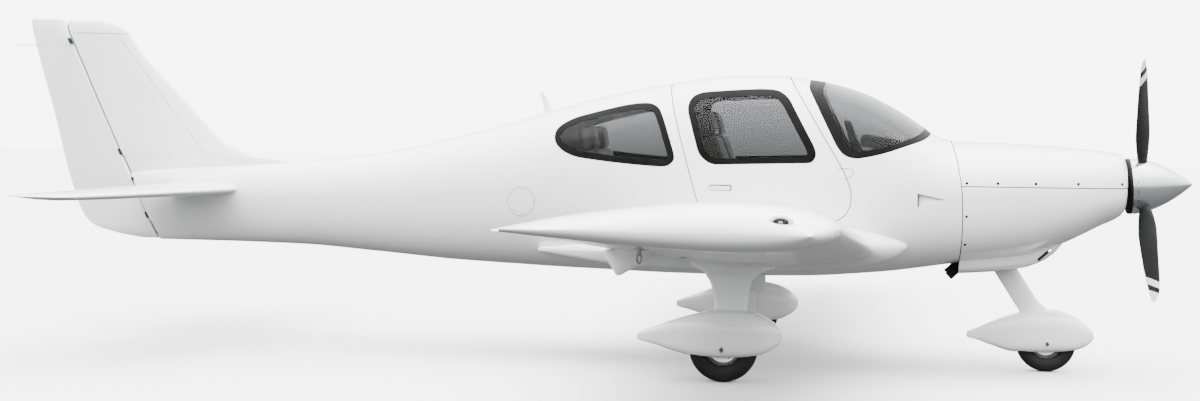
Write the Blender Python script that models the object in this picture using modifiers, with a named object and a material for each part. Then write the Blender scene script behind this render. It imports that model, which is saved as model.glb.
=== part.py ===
"""Light aircraft: a four-seat low-wing single with fixed faired gear, built in metres.

+X points to the nose, +Y to the left wing and +Z up. The tables measure heights from a level
that is STAND_LIFT above the ground, and the last lines raise the parts so the tyres stand on z = 0.
"""
import math

import bmesh
import bpy
from mathutils import Matrix, Vector

GAP = 0.0003
STAND_LIFT = 0.040
MOVING_GAP = 0.006
WALL = 0.040
GLASS = 0.012

FIREWALL_X = 2.500
COWL_FRONT_X = 3.545
CABIN_REAR_X = -0.350
TAIL_END_X = -3.005
COWL_SPLIT_Z = 1.165

HUB = Vector((3.605, 0.0, 1.172))
THRUST_TILT = math.radians(3.0)
BLADE_RADIUS = 0.865
BLADE_OFFSET = 0.066
BLADE_RAKE = 0.026
BLADE_ANGLES = (22.5, 142.5, 262.5)
SPINNER_RADIUS = 0.178
SPINNER_LENGTH = 0.378

WING_DIHEDRAL = 0.0800
ROOT_INCIDENCE = math.radians(1.9)
TIP_WASHOUT = math.radians(1.4)
WING_ROOT_Y = 0.40
WING_TIP_Y = 5.72
FLAP_SPAN = (0.86, 3.36)
AILERON_SPAN = (3.38, 5.30)
HINGE_FRACTION = 0.745
FLAP_FAIRING_Y = 1.900

TAIL_Z = 1.036
TAIL_TIP_Y = 1.96
ELEVATOR_HINGE_X = -2.905
RUDDER_LOW = Vector((-3.015, 0.0, 0.660))
RUDDER_HIGH = Vector((-3.702, 0.0, 2.109))

MAIN_WHEEL_RADIUS = 0.210
NOSE_WHEEL_RADIUS = 0.189
MAIN_WHEEL = Vector((1.095, 1.000, MAIN_WHEEL_RADIUS - STAND_LIFT))
NOSE_WHEEL = Vector((3.095, 0.0, NOSE_WHEEL_RADIUS - STAND_LIFT))
NOSE_AXIS_LOW = Vector((2.990, 0.0, 0.368))
NOSE_RAKE = math.radians(33.0)

DOOR_HINGE = Vector((1.180, 0.057, 1.860))
DOOR_HINGE_XS = (1.000, 1.360)
DOOR_TOP_Y = 0.060
DOOR_LIP = 0.008
DOOR_REBATE = 0.032

# Columns: x, top z, bottom z, half width, z of the widest point, upper power, lower power, aft lean
BODY_SECTIONS = [
    (2.500, 1.443, 0.655, 0.560, 1.080, 2.3, 2.8, 0.0),
    (2.364, 1.478, 0.634, 0.585, 1.080, 2.3, 2.8, 0.0),
    (2.276, 1.539, 0.620, 0.595, 1.080, 2.3, 2.8, 0.0),
    (2.100, 1.651, 0.594, 0.612, 1.080, 2.4, 2.8, 0.0),
    (1.872, 1.758, 0.570, 0.625, 1.080, 2.6, 2.8, 0.0),
    (1.609, 1.825, 0.549, 0.635, 1.080, 2.8, 2.8, 0.0),
    (1.345, 1.853, 0.540, 0.640, 1.080, 2.9, 2.8, 0.0),
    (1.080, 1.853, 0.537, 0.640, 1.080, 2.9, 2.8, 0.0),
    (0.679, 1.804, 0.539, 0.625, 1.080, 2.8, 2.8, 0.0),
    (0.274, 1.726, 0.547, 0.580, 1.075, 2.6, 2.7, 0.0),
    (-0.136, 1.620, 0.556, 0.510, 1.060, 2.4, 2.6, 0.0),
    (-0.350, 1.556, 0.563, 0.468, 1.050, 2.3, 2.5, 0.0),
]
TAIL_SECTIONS = [
    (-0.350, 1.556, 0.563, 0.468, 1.050, 2.3, 2.5, 0.0),
    (-0.832, 1.426, 0.582, 0.375, 1.030, 2.2, 2.4, 0.0),
    (-1.400, 1.300, 0.623, 0.280, 1.000, 2.1, 2.3, 0.0),
    (-1.979, 1.231, 0.658, 0.200, 0.990, 2.0, 2.2, 0.0),
    (-2.560, 1.185, 0.664, 0.130, 0.960, 2.0, 2.1, -0.25),
    (-3.005, 1.150, 0.664, 0.050, 0.930, 2.0, 2.0, -0.47),
]
COWL_SECTIONS = [
    (2.500, 1.443, 0.655, 0.560, 1.080, 2.3, 2.8, 0.0),
    (2.902, 1.432, 0.700, 0.520, 1.090, 2.4, 2.6, 0.0),
    (3.154, 1.416, 0.789, 0.470, 1.100, 2.4, 2.5, 0.0),
    (3.403, 1.395, 0.915, 0.385, 1.130, 2.4, 2.4, 0.0),
    (3.520, 1.378, 0.975, 0.310, 1.150, 2.3, 2.3, 0.0),
    (3.545, 1.350, 1.000, 0.255, 1.165, 2.2, 2.2, 0.0),
]
# Columns: x, top z, bottom z, half width of the chin under the lower cowling
CHIN_SECTIONS = [
    (2.560, 0.700, 0.598, 0.300),
    (2.914, 0.760, 0.634, 0.270),
    (3.038, 0.800, 0.677, 0.240),
    (3.165, 0.880, 0.800, 0.200),
]

DOOR_OUTLINE = [
    (0.610, 1.950), (1.359, 1.950), (1.785, 1.255), (1.836, 1.131), (1.838, 1.037), (1.800, 0.965), (1.735, 0.930),
    (0.935, 0.930), (0.905, 0.950),
]
DOOR_WINDOW = [
    (0.791, 1.635), (0.815, 1.705), (0.878, 1.734), (1.131, 1.753), (1.276, 1.760), (1.370, 1.752),
    (1.433, 1.706), (1.608, 1.389), (1.620, 1.339), (1.591, 1.294), (0.969, 1.274), (0.918, 1.301),
    (0.879, 1.345),
]
REAR_WINDOW = [
    (-0.085, 1.428), (-0.082, 1.477), (-0.047, 1.514), (0.036, 1.561), (0.204, 1.606), (0.371, 1.646),
    (0.471, 1.661), (0.556, 1.660), (0.612, 1.628), (0.655, 1.535), (0.721, 1.346), (0.728, 1.299),
    (0.684, 1.255), (0.570, 1.257), (0.323, 1.275), (0.069, 1.305), (-0.019, 1.342), (-0.069, 1.387),
]
WINDSHIELD = [
    (1.565, 1.900), (1.553, 1.772), (1.579, 1.722), (1.748, 1.390), (1.793, 1.341), (1.862, 1.323),
    (2.010, 1.351), (2.163, 1.404), (2.346, 1.469), (2.420, 1.900),
]
COLOURS = {
    "paint": ((0.86, 0.87, 0.88), 0.25, 0.0),
    "glass": ((0.30, 0.34, 0.36), 0.08, 0.0),
    "black": ((0.02, 0.02, 0.022), 0.45, 0.0),
    "rubber": ((0.03, 0.03, 0.03), 0.80, 0.0),
    "metal": ((0.80, 0.80, 0.82), 0.12, 1.0),
    "steel": ((0.30, 0.30, 0.31), 0.40, 1.0),
    "leather": ((0.10, 0.095, 0.07), 0.55, 0.0),
    "trim": ((0.16, 0.16, 0.17), 0.70, 0.0),
    "light": ((0.75, 0.80, 0.85), 0.10, 0.0),
}

for old in list(bpy.data.objects):
    bpy.data.objects.remove(old, do_unlink=True)

parts = bpy.data.collections.new("light_aircraft")
cutters = bpy.data.collections.new("cutters")
bpy.context.scene.collection.children.link(parts)
bpy.context.scene.collection.children.link(cutters)


def material_for(name, look):
    """Give a part its own plain material."""
    colour, roughness, metallic = COLOURS[look]
    made = bpy.data.materials.new(name + "_finish")
    made.use_nodes = True
    shader = made.node_tree.nodes["Principled BSDF"]
    shader.inputs["Base Color"].default_value = (*colour, 1.0)
    shader.inputs["Roughness"].default_value = roughness
    shader.inputs["Metallic"].default_value = metallic
    made.diffuse_color = (*colour, 1.0)
    return made


def add_mesh(name, bm, look, collection=parts):
    """Turn a bmesh into a named object with outward faces."""
    bmesh.ops.remove_doubles(bm, verts=bm.verts, dist=0.00005)
    bmesh.ops.recalc_face_normals(bm, faces=bm.faces)
    mesh = bpy.data.meshes.new(name)
    bm.to_mesh(mesh)
    bm.free()
    made = bpy.data.objects.new(name, mesh)
    collection.objects.link(made)
    if collection is parts:
        mesh.materials.append(material_for(name, look))
    else:
        made.hide_render = True
        made.display_type = "WIRE"
    return made


def loft(name, rings, look="paint", collection=parts):
    """Skin a list of equal rings and close both ends."""
    bm = bmesh.new()
    rows = [[bm.verts.new(point) for point in ring] for ring in rings]
    count = len(rows[0])
    for near, far in zip(rows, rows[1:]):
        for i in range(count):
            j = (i + 1) % count
            if near[i].co.y + near[j].co.y > 0:
                bm.faces.new((near[i], near[j], far[j]))
                bm.faces.new((near[i], far[j], far[i]))
            else:
                bm.faces.new((near[i], near[j], far[i]))
                bm.faces.new((near[j], far[j], far[i]))
    bm.faces.new(rows[0])
    bm.faces.new(list(reversed(rows[-1])))
    return add_mesh(name, bm, look, collection)


def prism_y(name, outline, y_low, y_high, look="paint", collection=cutters):
    """Extrude an x, z outline along y."""
    rings = [[(x, y, z) for x, z in outline] for y in (y_low, y_high)]
    return loft(name, rings, look, collection)


def box(name, low, high, look="paint", collection=parts, bevel=0.0):
    """Make a box between two corners, with softened edges when asked."""
    bm = bmesh.new()
    bmesh.ops.create_cube(bm, size=1.0)
    for vert in bm.verts:
        vert.co = Vector([low[k] if vert.co[k] < 0 else high[k] for k in range(3)])
    if bevel:
        bmesh.ops.bevel(bm, geom=bm.edges[:], offset=bevel, segments=2, affect="EDGES", profile=0.5)
    return add_mesh(name, bm, look, collection)


def rod(name, start, end, radius_start, radius_end=None, look="steel", collection=parts, sides=16):
    """Make a round bar or cone between two points."""
    start, end = Vector(start), Vector(end)
    radius_end = radius_start if radius_end is None else radius_end
    bm = bmesh.new()
    length = (end - start).length
    bmesh.ops.create_cone(bm, cap_ends=True, segments=sides, radius1=radius_start,
                          radius2=radius_end, depth=length)
    turn = Vector((0, 0, 1)).rotation_difference(end - start).to_matrix().to_4x4()
    bmesh.ops.transform(bm, matrix=Matrix.Translation((start + end) / 2) @ turn, verts=bm.verts)
    return add_mesh(name, bm, look, collection)


def boolean(target, tool, operation, keep=False):
    """Apply one exact Boolean and drop the tool unless it is kept."""
    step = target.modifiers.new("step", "BOOLEAN")
    step.operation = operation
    step.solver = "EXACT"
    step.object = tool
    view = bpy.context.view_layer
    view.update()
    mesh = bpy.data.meshes.new_from_object(target.evaluated_get(bpy.context.evaluated_depsgraph_get()))
    target.modifiers.clear()
    old = target.data
    target.data = mesh
    bpy.data.meshes.remove(old)
    if not keep:
        bpy.data.objects.remove(tool, do_unlink=True)
    return target


def copy_as(source, name, look="paint"):
    """Copy a cutter's mesh into the parts under its own name."""
    made = bpy.data.objects.new(name, source.data.copy())
    parts.objects.link(made)
    made.data.materials.clear()
    made.data.materials.append(material_for(name, look))
    return made


def mirrored(source, name, look="paint"):
    """Mirror an object's mesh over y = 0 under a new name."""
    bm = bmesh.new()
    bm.from_mesh(source.data)
    bmesh.ops.transform(bm, matrix=Matrix.Scale(-1.0, 4, (0, 1, 0)), verts=bm.verts)
    bmesh.ops.reverse_faces(bm, faces=bm.faces)
    made = add_mesh(name, bm, look)
    made.location = (source.location.x, -source.location.y, source.location.z)
    return made


def set_origin(made, origin):
    """Move an object's origin onto its joint without moving its shape."""
    made.data.transform(Matrix.Translation(-Vector(origin)))
    made.location = origin


def body_ring(row, inset=0.0, steps=5):
    """Ring of a body section: two superellipse halves, shrunk by the inset."""
    x, top, bottom, half, wide, power_up, power_low, lean = row
    points = []
    for k in range(4 * steps):
        angle = math.pi * k / (2 * steps)
        c, s = math.cos(angle), math.sin(angle)
        power = power_up if s >= 0 else power_low
        height = (top - wide if s >= 0 else wide - bottom) - inset
        y = math.copysign(abs(c) ** (2 / power), c) * (half - inset)
        z = wide + math.copysign(abs(s) ** (2 / power), s) * height
        points.append((x + lean * (z - 0.664), y, z))
    return points


def body_solid(name, rows, inset=0.0, collection=cutters):
    """Solid skin through the body sections."""
    return loft(name, [body_ring(row, inset) for row in rows], "paint", collection)


def grown(outline, amount):
    """Push an outline outward from its middle lines by an amount."""
    count = len(outline)
    area = sum(outline[i][0] * outline[(i + 1) % count][1] - outline[(i + 1) % count][0] * outline[i][1]
               for i in range(count))
    side = 1.0 if area > 0 else -1.0
    result = []
    for i in range(count):
        before, here, after = (Vector(outline[(i + k) % count]) for k in (-1, 0, 1))
        first, second = (here - before).normalized(), (after - here).normalized()
        normal = Vector((first.y + second.y, -(first.x + second.x))).normalized() * side
        cosine = max(0.5, normal.dot(Vector((first.y, -first.x)) * side))
        moved = here + normal * (amount / cosine)
        result.append((moved.x, moved.y))
    return result


def section_between(rows, x):
    """Body section at any x, blended from its two neighbours."""
    for aft, fore in zip(rows, rows[1:]):
        low, high = sorted((aft[0], fore[0]))
        if low <= x <= high:
            share = (x - aft[0]) / (fore[0] - aft[0])
            return (x,) + tuple(a + (b - a) * share for a, b in zip(aft[1:], fore[1:]))
    return rows[-1]


# Cabin shell: hollow, with door and window openings cut through
door_hole = grown(DOOR_OUTLINE, MOVING_GAP)
door_core = [(x - (DOOR_REBATE if x > 1.1 else 0.0), z) for x, z in DOOR_OUTLINE]
cabin = body_solid("cabin_shell", BODY_SECTIONS, 0.0, parts)
inner_rows = [section_between(BODY_SECTIONS, 2.460)] + BODY_SECTIONS[1:-1]
inner_rows += [section_between(BODY_SECTIONS, -0.310)]
wall_inner = body_solid("wall_inner", inner_rows, WALL)
shell_solid = body_solid("shell_solid", BODY_SECTIONS)
boolean(shell_solid, wall_inner, "DIFFERENCE", keep=True)
glass_solid = body_solid("glass_solid", BODY_SECTIONS)
glass_rows = [section_between(BODY_SECTIONS, 2.460)] + BODY_SECTIONS[1:-1]
glass_rows += [section_between(BODY_SECTIONS, -0.310)]
boolean(glass_solid, body_solid("glass_inner", glass_rows, GLASS), "DIFFERENCE")
lip_solid = body_solid("lip_solid", BODY_SECTIONS)
boolean(lip_solid, body_solid("lip_inner", glass_rows, DOOR_LIP), "DIFFERENCE")
axis_x = Vector((1.0, 0.0, 0.0))
boolean(cabin, wall_inner, "DIFFERENCE", keep=True)
boolean(cabin, prism_y("windshield_cut", WINDSHIELD, -1.0, 1.0), "DIFFERENCE")
for side in (-1, 1):
    inner_y, outer_y = sorted((0.30 * side, 1.0 * side))
    boolean(cabin, prism_y("window_cut", REAR_WINDOW, inner_y, outer_y), "DIFFERENCE")
    inner_y, outer_y = sorted(((DOOR_TOP_Y - MOVING_GAP) * side, 1.0 * side))
    boolean(cabin, prism_y("door_cut", door_hole, inner_y, outer_y), "DIFFERENCE")

windshield = copy_as(glass_solid, "windshield", "glass")
boolean(windshield, prism_y("windshield_keep", grown(WINDSHIELD, -GAP), -1.0, 1.0), "INTERSECT")
for side, label in ((-1, "right"), (1, "left")):
    inner_y, outer_y = sorted((DOOR_TOP_Y * side, 1.0 * side))
    door = copy_as(shell_solid, "door_" + label)
    boolean(door, prism_y("door_keep", door_core, inner_y, outer_y), "INTERSECT")
    lip = copy_as(lip_solid, "door_lip")
    boolean(lip, prism_y("lip_keep", DOOR_OUTLINE, inner_y, outer_y), "INTERSECT")
    boolean(door, lip, "UNION")
    boolean(door, prism_y("door_window_cut", DOOR_WINDOW, inner_y, outer_y), "DIFFERENCE")
    pane = copy_as(glass_solid, "door_window_" + label, "glass")
    boolean(pane, prism_y("pane_keep", grown(DOOR_WINDOW, -GAP), inner_y, outer_y), "INTERSECT")
    inner_y, outer_y = sorted((0.30 * side, 1.0 * side))
    rear = copy_as(glass_solid, "rear_window_" + label, "glass")
    boolean(rear, prism_y("rear_keep", grown(REAR_WINDOW, -GAP), inner_y, outer_y), "INTERSECT")
    hinge = Vector((DOOR_HINGE.x, DOOR_HINGE.y * side, DOOR_HINGE.z))
    for x in DOOR_HINGE_XS:
        middle = Vector((x, hinge.y, hinge.z))
        door_y, beam_y = (DOOR_HINGE.y + 0.016) * side, (DOOR_HINGE.y - 0.018) * side
        low_y, high_y = sorted((hinge.y - 0.003 * side, door_y))
        boolean(door, box("door_lug", (x - 0.008, low_y, hinge.z - 0.003), (x + 0.008, high_y, hinge.z + 0.003),
                          collection=cutters), "UNION")
        low_y, high_y = sorted((DOOR_TOP_Y * side, door_y))
        boolean(door, box("door_foot", (x - 0.008, low_y, 1.835), (x + 0.008, high_y, hinge.z + 0.003),
                          collection=cutters), "UNION")
        boolean(door, rod("barrel", middle - axis_x * 0.008, middle + axis_x * 0.008, 0.005, collection=cutters,
                          sides=12), "UNION")
        boolean(door, rod("pin", middle - axis_x * 0.020, middle + axis_x * 0.020, 0.0025, collection=cutters,
                          sides=10), "UNION")
        for shift in (-0.015, 0.015):
            low_y, high_y = sorted((beam_y, hinge.y + 0.004 * side))
            lug = box("shell_lug", (x + shift - 0.0055, low_y, hinge.z - 0.004),
                      (x + shift + 0.0055, high_y, hinge.z + 0.004), collection=cutters)
            low_y, high_y = sorted((beam_y, (DOOR_TOP_Y - MOVING_GAP) * side))
            boolean(lug, box("shell_foot", (x + shift - 0.0055, low_y, 1.830),
                             (x + shift + 0.0055, high_y, hinge.z + 0.004), collection=cutters), "UNION")
            boolean(cabin, lug, "UNION")
        boolean(cabin, rod("pin_hole", middle - axis_x * 0.022, middle + axis_x * 0.022, 0.0030, collection=cutters,
                           sides=10), "DIFFERENCE")
    set_origin(door, hinge)
    set_origin(pane, hinge)
bpy.data.objects.remove(lip_solid, do_unlink=True)
bpy.data.objects.remove(shell_solid, do_unlink=True)
bpy.data.objects.remove(glass_solid, do_unlink=True)

# Tail cone: hollow behind the cabin's rear wall, solid at its end
tail_rows = [(CABIN_REAR_X - GAP,) + TAIL_SECTIONS[0][1:]] + TAIL_SECTIONS[1:]
tail_cone = body_solid("tail_cone", tail_rows, 0.0, parts)
tail_full = body_solid("tail_full", TAIL_SECTIONS, -GAP)
hollow_rows = [(-0.300,) + TAIL_SECTIONS[0][1:]] + TAIL_SECTIONS[1:4]
boolean(tail_cone, body_solid("tail_hollow", hollow_rows, 0.020), "DIFFERENCE")


# Cowling: two shells split at one level, open to the firewall and cut by two air inlets
def cowl_half(name, low_z, high_z):
    """One half of the cowling with its wall and inlets."""
    rows = [(FIREWALL_X + GAP,) + COWL_SECTIONS[0][1:]] + COWL_SECTIONS[1:]
    made = body_solid(name, rows, 0.0, parts)
    if high_z < 1.3:
        chin = loft("chin", [chin_ring(row, 0.0) for row in CHIN_SECTIONS], "paint", cutters)
        boolean(made, chin, "UNION")
    hollow = [(2.400,) + COWL_SECTIONS[0][1:]] + COWL_SECTIONS[1:4]
    hollow += [(3.525,) + COWL_SECTIONS[4][1:]]
    boolean(made, body_solid("cowl_hollow", hollow, 0.012), "DIFFERENCE")
    if high_z < 1.3:
        inner = [(2.520,) + CHIN_SECTIONS[0][1:]] + CHIN_SECTIONS[1:3]
        boolean(made, loft("chin_hollow", [chin_ring(row, 0.012) for row in inner], "paint", cutters),
                "DIFFERENCE")
    boolean(made, rod("shaft_hole", (3.3, 0, 1.164), (3.8, 0, 1.176), 0.075, collection=cutters), "DIFFERENCE")
    for y in (-0.185, 0.185):
        inlet = rod("inlet", (3.45, y, 1.165), (3.7, y, 1.165), 0.062, collection=cutters)
        boolean(made, inlet, "DIFFERENCE")
    boolean(made, box("half", (2.0, -1, low_z), (4.2, 1, high_z), collection=cutters), "INTERSECT")
    return made


def chin_ring(row, inset):
    """Rounded box ring of the chin."""
    x, top, bottom, half = row
    bottom, half = bottom + inset, half - inset
    round_off = 0.05
    return [(x, half, top), (x, half, bottom + round_off), (x, half - round_off, bottom),
            (x, -half + round_off, bottom), (x, -half, bottom + round_off), (x, -half, top)]


cowl_half("cowling_upper", COWL_SPLIT_Z + GAP, 2.0)
cowl_half("cowling_lower", 0.0, COWL_SPLIT_Z - GAP)


# Engine block on the firewall, with the shaft that drives the propeller
thrust = Vector((math.cos(THRUST_TILT), 0.0, math.sin(THRUST_TILT)))
block = box("engine_block", (2.700, -0.300, 0.960), (3.260, 0.300, 1.310), "steel", bevel=0.03)
boolean(block, box("rear_case", (FIREWALL_X + GAP, -0.160, 1.010), (2.720, 0.160, 1.270), collection=cutters),
        "UNION")
boolean(block, rod("shaft", HUB - thrust * 0.400, HUB - thrust * 0.0463, 0.055, collection=cutters, sides=20),
        "UNION")

leg_up = Vector((-math.sin(NOSE_RAKE), 0.0, math.cos(NOSE_RAKE)))
leg_ahead = Vector((math.cos(NOSE_RAKE), 0.0, math.sin(NOSE_RAKE)))
boolean(block, rod("leg_socket", NOSE_AXIS_LOW + leg_up * 0.45, NOSE_AXIS_LOW + leg_up * 0.60, 0.050,
                   collection=cutters, sides=20), "UNION")
boolean(block, box("socket_web", (2.640, -0.030, 0.830), (2.760, 0.030, 1.000), collection=cutters), "UNION")
boolean(block, rod("socket_bore", NOSE_AXIS_LOW + leg_up * 0.40, NOSE_AXIS_LOW + leg_up * 0.5405, 0.0304,
                   collection=cutters, sides=20), "DIFFERENCE")

# Exhaust: two pipes leaving the rear lip of the lower cowling
for side, label in ((-1, "right"), (1, "left")):
    y = 0.130 * side
    pipe = rod("exhaust_" + label, (2.700, y, 0.800), (2.462, y, 0.570), 0.028, look="black")
    link = box("exhaust_arm", (2.690, y - 0.02, 0.79), (2.790, y + 0.02, 0.97), collection=cutters)
    boolean(pipe, link, "UNION")
    boolean(pipe, box("arm_trim", (2.60, -1, 0.9597), (3.0, 1, 1.2), collection=cutters), "DIFFERENCE")
    boolean(bpy.data.objects["cowling_lower"], rod("pipe_hole", (2.700, y, 0.800), (2.440, y, 0.549), 0.036,
                                                   collection=cutters), "DIFFERENCE")


# Propeller: spinner, backplate and three blades about the tilted thrust line


def turned(name, profile, look, sides=28):
    """Turn a profile of axial distance and radius about +X."""
    mesh = bpy.data.meshes.new(name)
    points = [(radius, 0.0, along) for along, radius in profile]
    mesh.from_pydata(points, [(i, i + 1) for i in range(len(points) - 1)], [])
    made = bpy.data.objects.new(name, mesh)
    parts.objects.link(made)
    screw = made.modifiers.new("screw", "SCREW")
    screw.axis = "Z"
    screw.steps = sides
    screw.render_steps = sides
    screw.use_merge_vertices = True
    screw.merge_threshold = 0.0001
    screw.use_normal_calculate = True
    bpy.context.view_layer.update()
    solid = bpy.data.meshes.new_from_object(made.evaluated_get(bpy.context.evaluated_depsgraph_get()))
    made.modifiers.clear()
    made.data = solid
    bpy.data.meshes.remove(mesh)
    bm = bmesh.new()
    bm.from_mesh(solid)
    bmesh.ops.remove_doubles(bm, verts=bm.verts, dist=0.0001)
    bmesh.ops.recalc_face_normals(bm, faces=bm.faces)
    bmesh.ops.transform(bm, matrix=Matrix.Rotation(math.pi / 2, 4, "Y"), verts=bm.verts)
    bm.to_mesh(solid)
    bm.free()
    solid.materials.clear()
    solid.materials.append(material_for(name, look))
    return made


spinner_profile = [(SPINNER_LENGTH, 0.0)]
for share in (0.985, 0.93, 0.82, 0.66, 0.46, 0.24, 0.0):
    radius = SPINNER_RADIUS * (1.0 - share ** 1.8)
    spinner_profile.append((SPINNER_LENGTH * share, radius))
spinner_profile += [(0.0, SPINNER_RADIUS - 0.006)]
inner = [(along - 0.008, radius - 0.006) for along, radius in spinner_profile[2:-2]]
spinner_profile += list(reversed(inner)) + [(SPINNER_LENGTH * 0.97, 0.0)]
spinner = turned("spinner", spinner_profile, "metal")
spinner.location = HUB
spinner.rotation_euler = (0, -THRUST_TILT, 0)
hub = turned("propeller", [
    (0.130, 0.0), (0.130, 0.062), (-GAP, 0.062), (-GAP, SPINNER_RADIUS), (-0.034, SPINNER_RADIUS),
    (-0.034, 0.050), (-0.046, 0.050), (-0.046, 0.0)], "black")
hub.location = HUB
hub.rotation_euler = (0, -THRUST_TILT, 0)

# Columns: radius from the hub, chord, thickness, twist from the disc in degrees, sweep of the middle
BLADE_ROWS = [
    (0.0300, 0.052, 0.052, 55.0, 0.000),
    (0.150, 0.064, 0.050, 54.0, 0.000),
    (0.220, 0.098, 0.034, 51.0, 0.002),
    (0.380, 0.140, 0.024, 45.0, 0.004),
    (0.560, 0.134, 0.016, 38.0, 0.004),
    (0.720, 0.112, 0.011, 34.0, 0.000),
    (0.810, 0.080, 0.008, 32.0, -0.004),
    (0.850, 0.050, 0.005, 31.0, -0.008),
    (BLADE_RADIUS, 0.024, 0.004, 31.0, -0.010),
]
BLADE_SHAPE = [(-0.5, 0.0), (-0.34, 0.42), (0.0, 0.5), (0.34, 0.34), (0.5, 0.0), (0.34, -0.34), (0.0, -0.5),
               (-0.34, -0.42)]


def blade_rings():
    """Rings of a blade that points along +Z with the disc in the y, z plane."""
    rings = []
    for radius, chord, thick, twist, sweep in BLADE_ROWS:
        turn = math.radians(twist)
        ring = []
        for across, up in BLADE_SHAPE:
            along_chord, along_thick = across * chord, up * thick
            y = along_chord * math.cos(turn) - along_thick * math.sin(turn) + sweep
            x = along_chord * math.sin(turn) + along_thick * math.cos(turn) + BLADE_OFFSET - BLADE_RAKE * radius
            ring.append((x, y, radius))
        rings.append(ring)
    return rings


for number, angle in enumerate(BLADE_ANGLES, 1):
    blade = loft("blade_%d" % number, blade_rings(), "black", cutters)
    blade.data.transform(Matrix.Rotation(math.radians(angle), 4, "X"))
    blade.location = HUB
    blade.rotation_euler = (0, -THRUST_TILT, 0)
    hole = bpy.data.objects.new("blade_hole", blade.data.copy())
    cutters.objects.link(hole)
    grow = bmesh.new()
    grow.from_mesh(hole.data)
    back = Matrix.Rotation(-math.radians(angle), 4, "X")
    widen = Matrix.Rotation(math.radians(angle), 4, "X") @ Matrix.Translation((BLADE_OFFSET, 0, 0)) @ \
        Matrix.Diagonal((1.16, 1.16, 1.0, 1.0)) @ Matrix.Translation((-BLADE_OFFSET, 0, 0)) @ back
    bmesh.ops.transform(grow, matrix=widen, verts=grow.verts)
    grow.to_mesh(hole.data)
    grow.free()
    hole.location = HUB
    hole.rotation_euler = (0, -THRUST_TILT, 0)
    bpy.context.view_layer.update()
    boolean(spinner, hole, "DIFFERENCE")
    boolean(hub, blade, "UNION")


# Wings, flaps and ailerons from one aerofoil
def wing_edge(y):
    """Leading edge x, its height and the chord at a distance from the middle."""
    share = (y - 0.68) / (5.60 - 0.68)
    return 1.985 - 0.096 * share, 0.762 + WING_DIHEDRAL * (y - 0.68), 1.560 - 0.400 * share


def half_thick(s, thickness):
    """Half thickness of the aerofoil at a fraction of the chord."""
    return 5 * thickness * (0.2969 * math.sqrt(s) - 0.1260 * s - 0.3516 * s ** 2 + 0.2843 * s ** 3
                            - 0.1036 * s ** 4) + 0.0008


def wing_point(y, s, level):
    """Point of the wing: level is +1 on the top skin, -1 on the lower and 0 between."""
    edge_x, edge_z, chord = wing_edge(y)
    camber = 0.016 * (1 - (2 * s - 0.8) ** 2 / 1.44) * chord
    up = camber + level * half_thick(s, 0.145) * chord
    back = s * chord
    incidence = ROOT_INCIDENCE - TIP_WASHOUT * (y - WING_ROOT_Y) / (WING_TIP_Y - WING_ROOT_Y)
    return (edge_x - back * math.cos(incidence) + up * math.sin(incidence), y,
            edge_z - back * math.sin(incidence) + up * math.cos(incidence))


AEROFOIL = [(1.0, 1), (0.87, 1), (0.745, 1), (0.55, 1), (0.38, 1), (0.22, 1), (0.11, 1), (0.04, 1), (0.008, 1),
            (0.0, 0), (0.012, -1), (0.06, -1), (0.18, -1), (0.38, -1), (0.62, -1), (0.87, -1), (1.0, -1)]
FLAP_SHAPE = [(1.0, 1), (0.87, 1), (0.765, 1), (0.740, 0.6), (0.735, 0), (0.740, -0.6), (0.765, -1), (0.87, -1),
              (1.0, -1)]


def square_to(points, origin, axis):
    """Slide points along an axis into the plane that is square to it."""
    result = []
    for point in points:
        along = (Vector(point) - origin).dot(axis)
        result.append(tuple(Vector(point) - axis * along))
    return result


def hinge_line(y_low, y_high):
    """Hinge of a trailing flap: a point at its middle and its axis toward +Y."""
    start, end = Vector(wing_point(y_low, HINGE_FRACTION, 0)), Vector(wing_point(y_high, HINGE_FRACTION, 0))
    return start, end, (end - start).normalized()


wing_rows = [[wing_point(y, s, level) for s, level in AEROFOIL] for y in (WING_ROOT_Y, 2.2, 4.0, 5.44)]
for y, shrink in ((5.60, 0.97), (5.69, 0.86), (WING_TIP_Y, 0.66)):
    middle = Vector(wing_point(y, 0.42, 0.0))
    drop = 0.030 * ((y - 5.44) / 0.28) ** 2
    narrow = 1 - (1 - shrink) * 0.25
    wing_rows.append([(middle.x + (x - middle.x) * narrow - drop, y, middle.z + (z - middle.z) * shrink - drop)
                      for x, y, z in (wing_point(y, s, level) for s, level in AEROFOIL)])
wing = loft("wing_left", wing_rows, "paint")
# Root fairing, one row for each point of the aerofoil. Columns: shift in x, shift in z, y beside the body
ROOT_FAIRING = [
    (-0.59, 0.015, 0.47), (-0.29, 0.020, 0.53), (-0.10, 0.035, 0.57), (-0.02, 0.045, 0.58), (0.00, 0.045, 0.58),
    (0.00, 0.045, 0.58), (0.02, 0.045, 0.58), (0.07, 0.040, 0.58), (0.13, 0.025, 0.57), (0.20, 0.017, 0.56),
    (0.15, -0.012, 0.57), (0.06, -0.030, 0.58), (0.01, -0.035, 0.58), (0.00, -0.040, 0.58), (-0.05, -0.055, 0.58),
    (-0.25, -0.065, 0.53), (-0.59, 0.000, 0.47),
]
fairing_rings = []
for share, pull in ((1.0, 0.12), (1.0, 0.0), (0.34, -0.080), (0.0, -0.170)):
    ring = []
    for (s, level), (shift_x, shift_z, beside) in zip(AEROFOIL, ROOT_FAIRING):
        x, _, z = wing_point(beside - pull, s, level * (1.0 if share else 0.996))
        ring.append((x + shift_x * share, beside - pull, z + shift_z * share))
    fairing_rings.append(ring)
boolean(wing, loft("root_fairing", fairing_rings, "paint", cutters), "UNION")
boolean(wing, tail_full, "DIFFERENCE", keep=True)
body_full = body_solid("body_full", BODY_SECTIONS, -2 * GAP)
boolean(wing, body_full, "DIFFERENCE", keep=True)
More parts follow.
